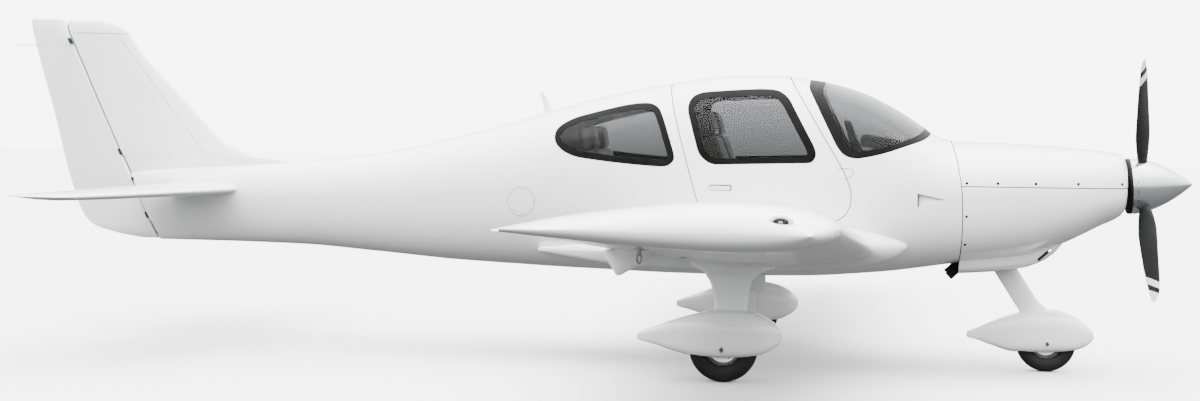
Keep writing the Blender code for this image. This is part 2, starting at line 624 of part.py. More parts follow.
half_cut = box("half_cut", (-2, -1, -1), (4, 0.30, 2), collection=cutters)
boolean(wing, half_cut, "DIFFERENCE")


def hinge_lug(fixed, moving, point, axis, forward, reach):
    """Join a moving surface to its fixed part by one lug and pin on the hinge line."""
    up = forward.cross(axis).normalized()
    frame = Matrix((forward, axis, up)).transposed().to_4x4()
    frame.translation = point

    def block_at(low, high):
        made = box("hinge_block", low, high, collection=cutters)
        made.data.transform(frame)
        return made

    boolean(moving, block_at((-0.016, -0.0105, -0.06), (0.08, 0.0105, 0.06)), "DIFFERENCE")
    boolean(moving, rod("pin", point - axis * 0.018, point + axis * 0.018, 0.0035, collection=cutters, sides=10),
            "UNION")
    lug = block_at((-0.009, -0.004, -0.008), (reach, 0.004, 0.008))
    boolean(lug, rod("pin_hole", point - axis * 0.02, point + axis * 0.02, 0.0040, collection=cutters, sides=10),
            "DIFFERENCE")
    boolean(fixed, lug, "UNION")


for y_low, y_high, name in (FLAP_SPAN + ("flap",), AILERON_SPAN + ("aileron",)):
    start, end, axis = hinge_line(y_low, y_high)
    rings = []
    for y, origin in ((y_low, start), (y_high, end)):
        edge_x, edge_z, chord = wing_edge(y)
        near_x = edge_x - 0.722 * chord
        corners = [(near_x, y, edge_z + 0.3), (near_x, y, edge_z - 0.4), (near_x - 0.8, y, edge_z - 0.4),
                   (near_x - 0.8, y, edge_z + 0.3)]
        rings.append(square_to(corners, origin, axis))
    boolean(wing, loft(name + "_cut", rings, "paint", cutters), "DIFFERENCE")
    inner_y, outer_y = y_low + 0.006, y_high - 0.006
    if name == "flap":
        outer_y -= 0.012
    start, end, axis = hinge_line(inner_y, outer_y)
    rings = [square_to([wing_point(y, s, level) for s, level in FLAP_SHAPE], origin, axis)
             for y, origin in ((inner_y, start), (outer_y, end))]
    surface = loft(name + "_left", rings, "paint")
    if name == "flap":
        boolean(surface, loft("flap_fairing", [
            [(x, FLAP_FAIRING_Y + wide, z) for x, z in
             ((0.480, 0.812), (0.560, 0.680), (0.574, 0.671), (0.594, 0.674), (0.814, 0.792), (0.780, 0.816))]
            for wide in (-0.014, 0.014)], "paint", cutters), "UNION")
    for share in (0.15, 0.85):
        hinge_lug(wing, surface, start.lerp(end, share), axis, Vector((axis.y, -axis.x, 0.0)).normalized(), 0.060)
    set_origin(surface, (start + end) / 2)
    mirrored(surface, name + "_right")
mirrored(wing, "wing_right")

# Tailplane halves with one elevator each
# Columns: y, leading edge x, trailing edge x
TAILPLANE_ROWS = [(0.030, -2.360, -3.170), (1.880, -2.700, -3.115), (TAIL_TIP_Y, -2.770, -3.090)]


def tail_ring(row, s_list, thickness):
    """Ring of a symmetric surface for one row of a plan table."""
    y, fore, aft = row
    chord = fore - aft
    return [(fore - s * chord, y, TAIL_Z + level * half_thick(s, thickness) * chord) for s, level in s_list]


TAIL_SHAPE = [(1.0, 1), (0.7, 1), (0.35, 1), (0.12, 1), (0.02, 1), (0.0, 0), (0.02, -1), (0.12, -1), (0.35, -1),
              (0.7, -1), (1.0, -1)]
tailplane = loft("tailplane_left", [tail_ring(row, TAIL_SHAPE, 0.11) for row in TAILPLANE_ROWS], "paint")
elevator = loft("elevator_left", [tail_ring(row, TAIL_SHAPE, 0.11) for row in TAILPLANE_ROWS], "paint")
boolean(tailplane, tail_full, "DIFFERENCE", keep=True)
boolean(tailplane, box("elevator_room", (-4.0, 0.0, 0.5), (ELEVATOR_HINGE_X + 0.012, 1.900, 1.5),
                       collection=cutters), "DIFFERENCE")
boolean(tailplane, box("side_room", (-4.0, -1.0, 0.5), (0.0, 0.060, 1.5), collection=cutters), "DIFFERENCE")
boolean(elevator, box("elevator_keep", (-4.0, 0.150, 0.5), (ELEVATOR_HINGE_X - 0.012, 1.892, 1.5),
                      collection=cutters), "INTERSECT")
boolean(elevator, box("elevator_web", (ELEVATOR_HINGE_X - 0.02, 0.150, TAIL_Z - 0.006),
                      (ELEVATOR_HINGE_X + 0.006, 1.892, TAIL_Z + 0.006), collection=cutters), "UNION")
for y in (0.40, 1.60):
    hinge_lug(tailplane, elevator, Vector((ELEVATOR_HINGE_X, y, TAIL_Z)), Vector((0, 1, 0)), Vector((1, 0, 0)), 0.040)
set_origin(elevator, (ELEVATOR_HINGE_X, 0.0, TAIL_Z))
mirrored(tailplane, "tailplane_right")
mirrored(elevator, "elevator_right")


# Fin with its dorsal fillet, and the rudder on a slanted hinge
def rudder_hinge_x(z):
    """Hinge line x at a height."""
    share = (z - RUDDER_LOW.z) / (RUDDER_HIGH.z - RUDDER_LOW.z)
    return RUDDER_LOW.x + (RUDDER_HIGH.x - RUDDER_LOW.x) * share


# Columns: z, leading edge x, half thickness
FIN_ROWS = [
    (1.000, -2.100, 0.034), (1.240, -2.150, 0.036), (1.330, -2.450, 0.040), (1.440, -2.622, 0.040),
    (1.720, -2.900, 0.036), (2.000, -3.172, 0.030), (2.123, -3.258, 0.026), (2.175, -3.340, 0.020),
    (2.206, -3.450, 0.010),
]
fin_rings = []
for z, fore, half in FIN_ROWS:
    aft = rudder_hinge_x(min(z, 2.109)) + 0.014
    chord = fore - aft
    fin_rings.append([(aft, half * 0.85, z), (fore - 0.45 * chord, half, z), (fore - 0.12 * chord, half * 0.62, z),
                      (fore, 0.0, z), (fore - 0.12 * chord, -half * 0.62, z), (fore - 0.45 * chord, -half, z),
                      (aft, -half * 0.85, z)])
fin = loft("fin", fin_rings, "paint")
dorsal = loft("dorsal", [[(x, y, z) for y, z in ((0.0, 1.05), (0.02, 1.05), (0.012, top), (-0.012, top),
                                                 (-0.02, 1.05))]
                         for x, top in ((-1.60, 1.262), (-1.979, 1.2315), (-2.272, 1.264), (-2.420, 1.311),
                                        (-2.560, 1.380))], "paint", cutters)
boolean(fin, dorsal, "UNION")
boolean(fin, tail_full, "DIFFERENCE")
# Columns: z, trailing edge x, half thickness at the hinge
RUDDER_ROWS = [
    (0.672, -3.150, 0.018), (0.700, -3.330, 0.026), (0.763, -3.530, 0.030), (0.826, -3.588, 0.031),
    (0.933, -3.640, 0.033), (1.600, -3.832, 0.034), (2.109, -3.978, 0.026), (2.170, -3.990, 0.022),
    (2.216, -3.992, 0.010),
]
rudder_rings = []
for z, aft, half in RUDDER_ROWS:
    fore = rudder_hinge_x(z)
    rudder_rings.append([(fore - 0.004, half, z), (fore + 0.006, half * 0.4, z), (fore + 0.006, -half * 0.4, z),
                         (fore - 0.004, -half, z), (aft, -0.003, z), (aft, 0.003, z)])
rudder = loft("rudder", rudder_rings, "paint")
rudder_cap = box("rudder_cap_cut", (-5, -1, 0.5), (-2, 1, 0.672), collection=cutters)
boolean(rudder, rudder_cap, "DIFFERENCE")
rudder_axis = (RUDDER_HIGH - RUDDER_LOW).normalized()
for share in (0.08, 0.30, 0.86):
    hinge_lug(fin if share > 0.3 else tail_cone, rudder, RUDDER_LOW.lerp(RUDDER_HIGH, share), rudder_axis,
              Vector((rudder_axis.z, 0.0, -rudder_axis.x)), 0.045)
set_origin(rudder, (RUDDER_LOW + RUDDER_HIGH) / 2)

# Wheels: tyre and rim in one closed turned body
# Columns: name, centre, tyre radius, half width, rim radius, bore radius
WHEELS = [
    ("main_wheel_left", MAIN_WHEEL, MAIN_WHEEL_RADIUS, 0.075, 0.090, 0.0160),
    ("nose_wheel", NOSE_WHEEL, NOSE_WHEEL_RADIUS, 0.062, 0.076, 0.0160),
]
for name, centre, radius, half, rim, bore in WHEELS:
    profile = [
        (half * 0.80, rim), (half, rim + 0.045), (half * 0.90, radius - 0.026), (half * 0.45, radius),
        (-half * 0.45, radius), (-half * 0.90, radius - 0.026), (-half, rim + 0.045), (-half * 0.80, rim),
        (-half * 0.45, rim - 0.012), (-half * 0.55, bore), (half * 0.55, bore), (half * 0.45, rim - 0.012),
        (half * 0.80, rim)]
    wheel = turned(name, profile, "rubber", 28)
    wheel.data.transform(Matrix.Rotation(math.pi / 2, 4, "Z"))
    wheel.location = centre
mirrored(bpy.data.objects["main_wheel_left"], "main_wheel_right", "rubber")

# Main gear: one leg with its axle and one open-bottomed fairing on each side
# Columns: y, z, middle x, half chord, half thickness
LEG_ROWS = [
    (0.620, 0.690, 1.115, 0.280, 0.034), (0.665, 0.636, 1.115, 0.262, 0.032), (0.688, 0.606, 1.110, 0.190, 0.030),
    (0.712, 0.578, 1.106, 0.150, 0.028), (0.765, 0.500, 1.112, 0.115, 0.024), (0.815, 0.420, 1.119, 0.103, 0.021),
    (0.854, 0.350, 1.118, 0.096, 0.020),
]
LEG_SHAPE = [(1.0, 0.0), (0.70, 0.72), (0.0, 1.0), (-0.60, 0.70), (-1.0, 0.0), (-0.60, -0.70), (0.0, -1.0),
             (0.70, -0.72)]
leg_rings = []
lean = Vector((0.234, -0.340)).normalized()
for y, z, middle, half, thick in LEG_ROWS:
    leg_rings.append([(middle + a * half, y + b * thick * -lean.y, z + b * thick * lean.x) for a, b in LEG_SHAPE])
leg = loft("main_leg_left", leg_rings, "paint")
boolean(leg, box("leg_plate", (1.040, 0.840, 0.125), (1.150, 0.868, 0.385), collection=cutters, bevel=0.004),
        "UNION")
boolean(leg, rod("axle", (MAIN_WHEEL.x, 0.850, MAIN_WHEEL.z), (MAIN_WHEEL.x, 1.083, MAIN_WHEEL.z), 0.0154,
                 collection=cutters), "UNION")
wing_grow = bpy.data.objects["wing_left"].copy()
wing_grow.data = wing_grow.data.copy()
cutters.objects.link(wing_grow)
wing_grow.location.z = -GAP
boolean(leg, wing_grow, "DIFFERENCE")
boolean(leg, box("leg_top", (0.5, 0.3, 0.720), (2.0, 2.0, 1.5), collection=cutters), "DIFFERENCE")

# Columns: x, half width, top z, bottom z of the fairing
MAIN_PANT_ROWS = [
    (1.446, 0.012, 0.268, 0.232), (1.430, 0.050, 0.300, 0.202), (1.385, 0.090, 0.338, 0.167),
    (1.300, 0.124, 0.379, 0.130), (1.190, 0.142, 0.398, 0.115), (1.060, 0.140, 0.398, 0.112),
    (0.930, 0.116, 0.373, 0.115), (0.790, 0.074, 0.330, 0.142), (0.670, 0.036, 0.283, 0.176),
    (0.580, 0.012, 0.249, 0.197), (0.561, 0.006, 0.238, 0.206),
]
NOSE_PANT_ROWS = [
    (3.393, 0.010, 0.212, 0.182), (3.375, 0.042, 0.240, 0.158), (3.320, 0.080, 0.292, 0.122),
    (3.235, 0.108, 0.335, 0.097), (3.130, 0.118, 0.361, 0.089), (3.000, 0.114, 0.355, 0.084),
    (2.880, 0.090, 0.326, 0.086), (2.760, 0.056, 0.278, 0.118), (2.660, 0.024, 0.230, 0.151),
    (2.593, 0.006, 0.196, 0.172),
]


def pant_ring(row, middle_y, inset):
    """Twelve-point rounded ring of a wheel fairing."""
    x, half, top, bottom = row
    middle = (top + bottom) / 2 + 0.02 * (top - bottom)
    half, up, down = half - inset, top - middle - inset, middle - bottom - inset
    points = []
    for k in range(14):
        angle = 2 * math.pi * k / 14
        c, q = math.cos(angle), math.sin(angle)
        power = 0.6 if q >= 0 else 0.42
        y = math.copysign(abs(c) ** power, c) * half
        z = math.copysign(abs(q) ** power, q) * (up if q > 0 else down)
        points.append((x, middle_y + y, middle + z))
    return points


def pant(name, rows, wheel, hole_half, opening_half, wall=0.007):
    """Hollow fairing with a wheel opening below."""
    made = loft(name, [pant_ring(row, wheel.y, 0.0) for row in rows], "paint")
    boolean(made, loft("hollow", [pant_ring(row, wheel.y, wall) for row in rows[2:-2]], "paint", cutters),
            "DIFFERENCE")
    boolean(made, box("opening", (wheel.x - hole_half, wheel.y - opening_half, -0.10),
                      (wheel.x + hole_half, wheel.y + opening_half, 0.20), collection=cutters), "DIFFERENCE")
    return made


main_pant = pant("main_fairing_left", MAIN_PANT_ROWS, MAIN_WHEEL, 0.220, 0.093)
boolean(main_pant, box("leg_room", (1.005, 0.70, 0.10), (1.235, 0.8685, 0.60), collection=cutters), "DIFFERENCE")
boolean(main_pant, rod("axle_room", (MAIN_WHEEL.x, 0.860, MAIN_WHEEL.z), (MAIN_WHEEL.x, 0.950, MAIN_WHEEL.z),
                       0.0162, collection=cutters), "DIFFERENCE")
set_origin(main_pant, MAIN_WHEEL)
main_pant_right = mirrored(main_pant, "main_fairing_right")
mirrored(leg, "main_leg_right")

# Nose gear: a raked leg that steers in its socket, with the fork, axle, fairing and wheel it carries
LEG_SECTION = [(0.5, 0.0), (0.36, 0.42), (0.08, 0.5), (-0.26, 0.30), (-0.5, 0.0), (-0.26, -0.30), (0.08, -0.5),
               (0.36, -0.42)]
NOSE_LEG_CHORD = 0.134
NOSE_LEG_THICK = 0.052


def nose_leg_ring(along, spare):
    """Ring of the leg's fairing section at a distance up the steering axis."""
    middle = NOSE_AXIS_LOW + leg_up * along
    return [middle + leg_ahead * a * (NOSE_LEG_CHORD + spare) + Vector((0, b * (NOSE_LEG_THICK + spare), 0))
            for a, b in LEG_SECTION]


def along_leg(along, ahead=0.0):
    """The x, z place at a distance up the steering axis and ahead of it."""
    place = NOSE_AXIS_LOW + leg_up * along + leg_ahead * ahead
    return place.x, place.z


nose_leg = loft("nose_leg", [nose_leg_ring(along, 0.0) for along in (-0.012, 0.340)], "paint")
boolean(nose_leg, rod("upper_leg", NOSE_AXIS_LOW + leg_up * 0.30, NOSE_AXIS_LOW + leg_up * 0.540, 0.030,
                      collection=cutters, sides=20), "UNION")
boolean(nose_leg, rod("lower_leg", NOSE_AXIS_LOW + leg_up * 0.05, NOSE_AXIS_LOW - leg_up * 0.0317, 0.018,
                      collection=cutters, sides=20), "UNION")
boolean(bpy.data.objects["cowling_lower"], rod("leg_hole", NOSE_AXIS_LOW + leg_up * 0.20,
                                               NOSE_AXIS_LOW + leg_up * 0.42, 0.080, collection=cutters,
                                               sides=24), "DIFFERENCE")
fork = prism_y("nose_fork", [along_leg(-0.032, -0.030), along_leg(-0.032, 0.006), along_leg(-0.042, 0.006),
                             along_leg(-0.042, -0.030)], -0.035, 0.035, "steel", parts)
boolean(fork, prism_y("crown", [along_leg(-0.032, -0.060), along_leg(-0.032, -0.020), along_leg(-0.042, -0.020),
                                along_leg(-0.042, -0.060)], -0.0752, 0.0752), "UNION")
for side in (-1, 1):
    low_y, high_y = sorted((0.0672 * side, 0.0752 * side))
    arm_outline = [along_leg(-0.032, -0.060), along_leg(-0.032, -0.020), (NOSE_WHEEL.x + 0.028, NOSE_WHEEL.z - 0.004),
                   (NOSE_WHEEL.x, NOSE_WHEEL.z - 0.027), (NOSE_WHEEL.x - 0.028, NOSE_WHEEL.z - 0.004)]
    boolean(fork, prism_y("arm", arm_outline, low_y, high_y), "UNION")
boolean(fork, rod("nose_axle", (NOSE_WHEEL.x, -0.072, NOSE_WHEEL.z), (NOSE_WHEEL.x, 0.072, NOSE_WHEEL.z), 0.0154,
                  collection=cutters), "UNION")
nose_pant = pant("nose_fairing", NOSE_PANT_ROWS, NOSE_WHEEL, 0.195, 0.082)
boolean(nose_pant, loft("leg_slot", [nose_leg_ring(along, 0.0008) for along in (-0.060, 0.200)], "paint", cutters),
        "DIFFERENCE")
for made in (nose_leg, fork, nose_pant):
    set_origin(made, NOSE_AXIS_LOW)

# Cabin inside: floor, seats, console and instrument panel
floor = box("cabin_floor", (-0.309, -0.600, 0.560), (2.459, 0.600, 0.690), "trim")
floor_shrink = Matrix.Translation((1.08, 0, 1.08)) @ Matrix.Scale(0.9992, 4) @ Matrix.Translation((-1.08, 0, -1.08))
wall_inner.data.transform(floor_shrink)
boolean(floor, wall_inner, "INTERSECT", keep=True)
boolean(floor, box("floor_under", (-0.500, -1.000, 0.500), (3.000, 1.000, 0.665), collection=cutters), "DIFFERENCE")
# Columns: name, rear x, half width of the cushion, middle y, cushion top z, back top z
SEATS = [
    ("front_seat_left", 0.800, 0.200, 0.235, 0.980, 1.500),
    ("front_seat_right", 0.800, 0.200, -0.235, 0.980, 1.500),
    ("rear_seat", 0.050, 0.350, 0.000, 0.960, 1.340),
]
for name, rear, half, middle, seat_top, back_top in SEATS:
    seat = box(name, (rear + 0.10, middle - half, 0.690 + GAP), (rear + 0.56, middle + half, seat_top), "leather",
               bevel=0.03)
    back = loft("back", [[(rear + x, middle + y * half, z) for y in (-1, 1) for x in (x_low, x_high)[::int(y)]]
                         for z, x_low, x_high in ((0.72, 0.08, 0.20), (back_top, -0.08, 0.03))], "leather",
                cutters)
    boolean(seat, back, "UNION")
    heads = [middle] if half < 0.3 else [middle - 0.2, middle + 0.2]
    for y in heads:
        boolean(seat, box("headrest", (rear - 0.085, y - 0.11, back_top - 0.02), (rear - 0.005, y + 0.11,
                                                                                 back_top + 0.16),
                          collection=cutters, bevel=0.02), "UNION")
box("centre_console", (1.480, -0.085, 0.690 + GAP), (1.890, 0.085, 1.020), "trim", bevel=0.01)
panel = loft("instrument_panel", [
    [(1.900, y, 1.020), (1.900, y, 1.330), (1.930, y, 1.365), (2.230, y, 1.365), (2.458, y, 1.365), (2.458, y, 1.020)]
    for y in (-0.650, 0.650)], "trim")
boolean(panel, wall_inner, "INTERSECT", keep=True)

# Small outside pieces
antenna = loft("roof_antenna", [
    [(-0.170 - 0.02, 0.0, 1.600), (-0.215, 0.010, 1.600), (-0.250, 0.0, 1.600), (-0.215, -0.010, 1.600)],
    [(-0.245, 0.0, 1.734), (-0.258, 0.005, 1.734), (-0.276, 0.0, 1.734), (-0.258, -0.005, 1.734)]], "paint")
boolean(antenna, body_full, "DIFFERENCE")

for made in list(cutters.objects):
    bpy.data.objects.remove(made, do_unlink=True)
for made in parts.objects:
    made.location.z += STAND_LIFT
    made.data.shade_smooth()
    made.data.set_sharp_from_angle(angle=math.radians(30))
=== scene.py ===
"""Looks of the light aircraft: smooth skins, glazing, cabin trim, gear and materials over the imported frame.

+X points to the nose, +Y to the left wing and +Z up. The shape tables measure heights from a level that is
LIFT above the ground, as the part's own tables do, and the points are raised as the shapes are made.
"""
import math

import bmesh
import bpy
import numpy as np
from mathutils import Matrix, Vector
from mathutils.bvhtree import BVHTree
from mathutils.interpolate import poly_3d_calc


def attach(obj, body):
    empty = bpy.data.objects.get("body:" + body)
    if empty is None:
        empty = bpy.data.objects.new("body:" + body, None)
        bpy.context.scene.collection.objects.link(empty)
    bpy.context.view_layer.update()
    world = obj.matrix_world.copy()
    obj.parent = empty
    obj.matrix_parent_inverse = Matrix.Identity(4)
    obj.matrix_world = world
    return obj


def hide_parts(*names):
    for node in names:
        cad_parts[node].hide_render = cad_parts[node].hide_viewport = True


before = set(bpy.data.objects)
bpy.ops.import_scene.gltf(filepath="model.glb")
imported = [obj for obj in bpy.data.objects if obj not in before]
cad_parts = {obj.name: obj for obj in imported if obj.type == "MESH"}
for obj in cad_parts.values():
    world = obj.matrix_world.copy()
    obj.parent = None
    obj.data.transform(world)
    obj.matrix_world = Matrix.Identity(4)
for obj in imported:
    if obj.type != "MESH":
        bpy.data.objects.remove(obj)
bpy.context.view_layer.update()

LIFT = 0.040
SIDES = ((-1, "right"), (1, "left"))

# Camera: place, lens and turn fitted to the outline and wheels in the picture, with a slight roll
CAMERA_PLACE = Vector((2.015, -11.0, 1.515))
CAMERA_YAW = math.atan(280 / 1650)
CAMERA_PITCH = -math.atan(70.5 / math.hypot(1650, 280))
CAMERA_ROLL = 0.015
CAMERA_LENS = 49.5

# Columns: x, top z, bottom z, half width, z of the widest point, upper power, lower power, aft lean
HULL_ROWS = [
    (-3.005, 1.150, 0.664, 0.050, 0.930, 2.0, 2.0, -0.47),
    (-2.560, 1.185, 0.664, 0.130, 0.960, 2.0, 2.1, -0.25),
    (-1.979, 1.231, 0.658, 0.200, 0.990, 2.0, 2.2, 0.0),
    (-1.400, 1.300, 0.623, 0.280, 1.000, 2.1, 2.3, 0.0),
    (-0.832, 1.426, 0.582, 0.375, 1.030, 2.2, 2.4, 0.0),
    (-0.350, 1.556, 0.563, 0.468, 1.050, 2.3, 2.5, 0.0),
    (-0.136, 1.620, 0.556, 0.510, 1.060, 2.4, 2.6, 0.0),
    (0.274, 1.726, 0.547, 0.580, 1.075, 2.6, 2.7, 0.0),
    (0.679, 1.804, 0.539, 0.625, 1.080, 2.8, 2.8, 0.0),
    (1.080, 1.853, 0.537, 0.640, 1.080, 2.9, 2.8, 0.0),
    (1.345, 1.853, 0.540, 0.640, 1.080, 2.9, 2.8, 0.0),
    (1.609, 1.825, 0.549, 0.635, 1.080, 2.8, 2.8, 0.0),
    (1.872, 1.758, 0.570, 0.625, 1.080, 2.6, 2.8, 0.0),
    (2.100, 1.651, 0.594, 0.612, 1.080, 2.4, 2.8, 0.0),
    (2.276, 1.539, 0.620, 0.595, 1.080, 2.3, 2.8, 0.0),
    (2.364, 1.478, 0.634, 0.585, 1.080, 2.3, 2.8, 0.0),
    (2.500, 1.443, 0.655, 0.560, 1.080, 2.3, 2.8, 0.0),
    (2.902, 1.432, 0.700, 0.520, 1.090, 2.4, 2.6, 0.0),
    (3.154, 1.416, 0.789, 0.470, 1.100, 2.4, 2.5, 0.0),
    (3.403, 1.395, 0.915, 0.385, 1.130, 2.4, 2.4, 0.0),
    (3.520, 1.378, 0.975, 0.310, 1.150, 2.3, 2.3, 0.0),
    (3.545, 1.350, 1.000, 0.255, 1.165, 2.2, 2.2, 0.0),
]
# Columns: x, top z, bottom z, half width of the chin under the lower cowling
CHIN_ROWS = [
    (2.540, 0.760, 0.592, 0.290), (2.700, 0.780, 0.604, 0.286), (2.914, 0.800, 0.634, 0.262),
    (3.038, 0.840, 0.677, 0.236), (3.120, 0.870, 0.735, 0.212), (3.175, 0.900, 0.802, 0.180),
]
COWL_SPLIT_Z = 1.165
FIREWALL_SEAM = [
    (2.420, 1.560), (2.454, 1.451), (2.483, 1.325), (2.507, 1.187), (2.516, 1.107), (2.521, 0.960),
    (2.521, 0.830), (2.516, 0.704), (2.508, 0.500),
]
# Depth of the skin, and the gaps round the doors and the cowling, wide enough to show in the picture
SKIN_DEPTH = 0.026
DOOR_GAP_OUT = 0.0045
DOOR_GAP_IN = 0.0015
COWL_GAP_AFT = 0.0060
COWL_GAP_SPLIT = 0.0030

DOOR_OUTLINE = [
    (0.610, 1.950), (1.359, 1.950), (1.785, 1.255), (1.836, 1.131), (1.838, 1.037), (1.800, 0.965),
    (1.735, 0.930), (0.935, 0.930), (0.905, 0.950),
]
DOOR_TOP_Y = 0.060
DOOR_WINDOW = [
    (0.791, 1.635), (0.815, 1.705), (0.878, 1.734), (1.131, 1.753), (1.276, 1.760), (1.370, 1.752),
    (1.433, 1.706), (1.608, 1.389), (1.620, 1.339), (1.591, 1.294), (0.969, 1.274), (0.918, 1.301),
    (0.879, 1.345),
]
REAR_WINDOW = [
    (-0.085, 1.428), (-0.082, 1.477), (-0.047, 1.514), (0.036, 1.561), (0.204, 1.606), (0.371, 1.646),
    (0.471, 1.661), (0.556, 1.660), (0.612, 1.628), (0.655, 1.535), (0.721, 1.346), (0.728, 1.299),
    (0.684, 1.255), (0.570, 1.257), (0.323, 1.275), (0.069, 1.305), (-0.019, 1.342), (-0.069, 1.387),
]
WINDSHIELD = [
    (1.565, 1.900), (1.553, 1.772), (1.579, 1.722), (1.748, 1.390), (1.793, 1.341), (1.862, 1.323),
    (2.010, 1.351), (2.163, 1.404), (2.346, 1.469), (2.420, 1.900),
]

HUB = Vector((3.605, 0.0, 1.172 + LIFT))
THRUST_TILT = math.radians(3.0)
SPINNER_RADIUS = 0.178
SPINNER_LENGTH = 0.378
BLADE_ANGLES = (22.5, 142.5, 262.5)
BLADE_OFFSET = 0.066
BLADE_RAKE = 0.026
# Columns: radius from the hub, chord, thickness, twist from the disc in degrees, sweep of the middle
BLADE_ROWS = [
    (0.030, 0.052, 0.052, 55.0, 0.000), (0.150, 0.064, 0.050, 54.0, 0.000),
    (0.220, 0.098, 0.034, 51.0, 0.002), (0.380, 0.140, 0.024, 45.0, 0.004),
    (0.560, 0.134, 0.016, 38.0, 0.004), (0.720, 0.112, 0.011, 34.0, 0.000),
    (0.810, 0.080, 0.008, 32.0, -0.004), (0.850, 0.050, 0.005, 31.0, -0.008),
    (0.865, 0.024, 0.004, 31.0, -0.010),
]

WING_ROOT_Y = 0.40
WING_TIP_Y = 5.72
FLAP_SPAN = (0.86, 3.36)
AILERON_SPAN = (3.38, 5.30)
HINGE_FRACTION = 0.745
REAR_SPAR_FRACTION = 0.722
TAIL_Z = 1.036
ELEVATOR_HINGE_X = -2.905
RUDDER_LOW = Vector((-3.015, 0.0, 0.660))
RUDDER_HIGH = Vector((-3.702, 0.0, 2.109))
MAIN_WHEEL = Vector((1.095, 1.000, 0.170))
MAIN_WHEEL_RADIUS = 0.210
NOSE_WHEEL = Vector((3.095, 0.0, 0.149))
NOSE_WHEEL_RADIUS = 0.189
NOSE_AXIS_LOW = Vector((2.990, 0.0, 0.368))
NOSE_RAKE = math.radians(33.0)


# Materials
def principled(name, colour, roughness, **values):
    """Make a Principled material with its plain socket values set."""
    made = bpy.data.materials.new(name)
    made.use_nodes = True
    shader = made.node_tree.nodes["Principled BSDF"]
    shader.inputs["Base Color"].default_value = (*colour, 1.0)
    shader.inputs["Roughness"].default_value = roughness
    for key, value in values.items():
        shader.inputs[key.replace("_", " ")].default_value = value
    return made


def add_texture(made, kind, **values):
    """Add a texture node that reads the object's own coordinates."""
    tree = made.node_tree
    coordinates = tree.nodes.new("ShaderNodeTexCoord")
    mapping = tree.nodes.new("ShaderNodeMapping")
    texture = tree.nodes.new(kind)
    tree.links.new(coordinates.outputs["Object"], mapping.inputs["Vector"])
    tree.links.new(mapping.outputs["Vector"], texture.inputs["Vector"])
    for key, value in values.items():
        if key == "stretch":
            mapping.inputs["Scale"].default_value = value
        else:
            texture.inputs[key].default_value = value
    return texture


def vary_colour(made, texture, low, high, output="Fac", start=0.3, end=0.7):
    """Blend the base colour between two values by a texture."""
    tree = made.node_tree
    ramp = tree.nodes.new("ShaderNodeValToRGB")
    ramp.color_ramp.elements[0].position = start
    ramp.color_ramp.elements[1].position = end
    ramp.color_ramp.elements[0].color = (*low, 1.0)
    ramp.color_ramp.elements[1].color = (*high, 1.0)
    tree.links.new(texture.outputs[output], ramp.inputs["Fac"])
    tree.links.new(ramp.outputs["Color"], tree.nodes["Principled BSDF"].inputs["Base Color"])


def vary_roughness(made, texture, low, high):
    """Let a texture move the roughness between two values."""
    tree = made.node_tree
    spread = tree.nodes.new("ShaderNodeMapRange")
    spread.inputs["To Min"].default_value = low
    spread.inputs["To Max"].default_value = high
    tree.links.new(texture.outputs["Fac"], spread.inputs["Value"])
    tree.links.new(spread.outputs["Result"], tree.nodes["Principled BSDF"].inputs["Roughness"])


def add_bump(made, texture, strength, distance, output="Fac"):
    """Add a bump from a texture, on top of any bump that is there."""
    tree = made.node_tree
    bump = tree.nodes.new("ShaderNodeBump")
    bump.inputs["Strength"].default_value = strength
    bump.inputs["Distance"].default_value = distance
    tree.links.new(texture.outputs[output], bump.inputs["Height"])
    socket = tree.nodes["Principled BSDF"].inputs["Normal"]
    if socket.is_linked:
        tree.links.new(socket.links[0].from_socket, bump.inputs["Normal"])
    tree.links.new(bump.outputs["Normal"], socket)


def paint_material():
    """Gloss white paint over composite: faint orange peel and a little grime."""
    made = principled("paint", (0.83, 0.835, 0.84), 0.20, Coat_Weight=0.6, Coat_Roughness=0.06)
    grime = add_texture(made, "ShaderNodeTexNoise", Scale=1.3, Detail=6.0, Roughness=0.62)
    vary_colour(made, grime, (0.80, 0.805, 0.81), (0.845, 0.85, 0.855))
    vary_roughness(made, add_texture(made, "ShaderNodeTexNoise", Scale=9.0, Detail=4.0), 0.16, 0.28)
    add_bump(made, add_texture(made, "ShaderNodeTexNoise", Scale=160.0, Detail=2.0), 0.03, 0.0006)
    return made


def metal_material(name, colour, low, high, stretch, bump=0.04, metallic=1.0):
    """Metal with fine lines along its working direction."""
    made = principled(name, colour, low, Metallic=metallic)
    lines = add_texture(made, "ShaderNodeTexNoise", Scale=30.0, Detail=5.0, stretch=stretch)
    vary_roughness(made, lines, low, high)
    add_bump(made, lines, bump, 0.0005)
    return made


def grained_material(name, low, high, roughness, scale, bump, distance=0.0008, cells=False, **values):
    """Moulded plastic, rubber or leather: fine grain and a slow change of tone."""
    made = principled(name, high, roughness, **values)
    vary_colour(made, add_texture(made, "ShaderNodeTexNoise", Scale=7.0, Detail=5.0), low, high)
    kind = "ShaderNodeTexVoronoi" if cells else "ShaderNodeTexNoise"
    grain = add_texture(made, kind, Scale=scale)
    add_bump(made, grain, bump, distance, "Distance" if cells else "Fac")
    wear = add_texture(made, "ShaderNodeTexNoise", Scale=scale * 0.4)
    vary_roughness(made, wear, roughness - 0.08, roughness + 0.08)
    return made


def carpet_material():
    """Short loop pile in dark grey."""
    made = principled("carpet", (0.05, 0.05, 0.055), 0.95, Sheen_Weight=0.25)
    loops = add_texture(made, "ShaderNodeTexVoronoi", Scale=330.0)
    vary_colour(made, loops, (0.022, 0.022, 0.024), (0.085, 0.085, 0.09), "Distance", 0.0, 0.6)
    add_bump(made, loops, 0.8, 0.003, "Distance")
    return made


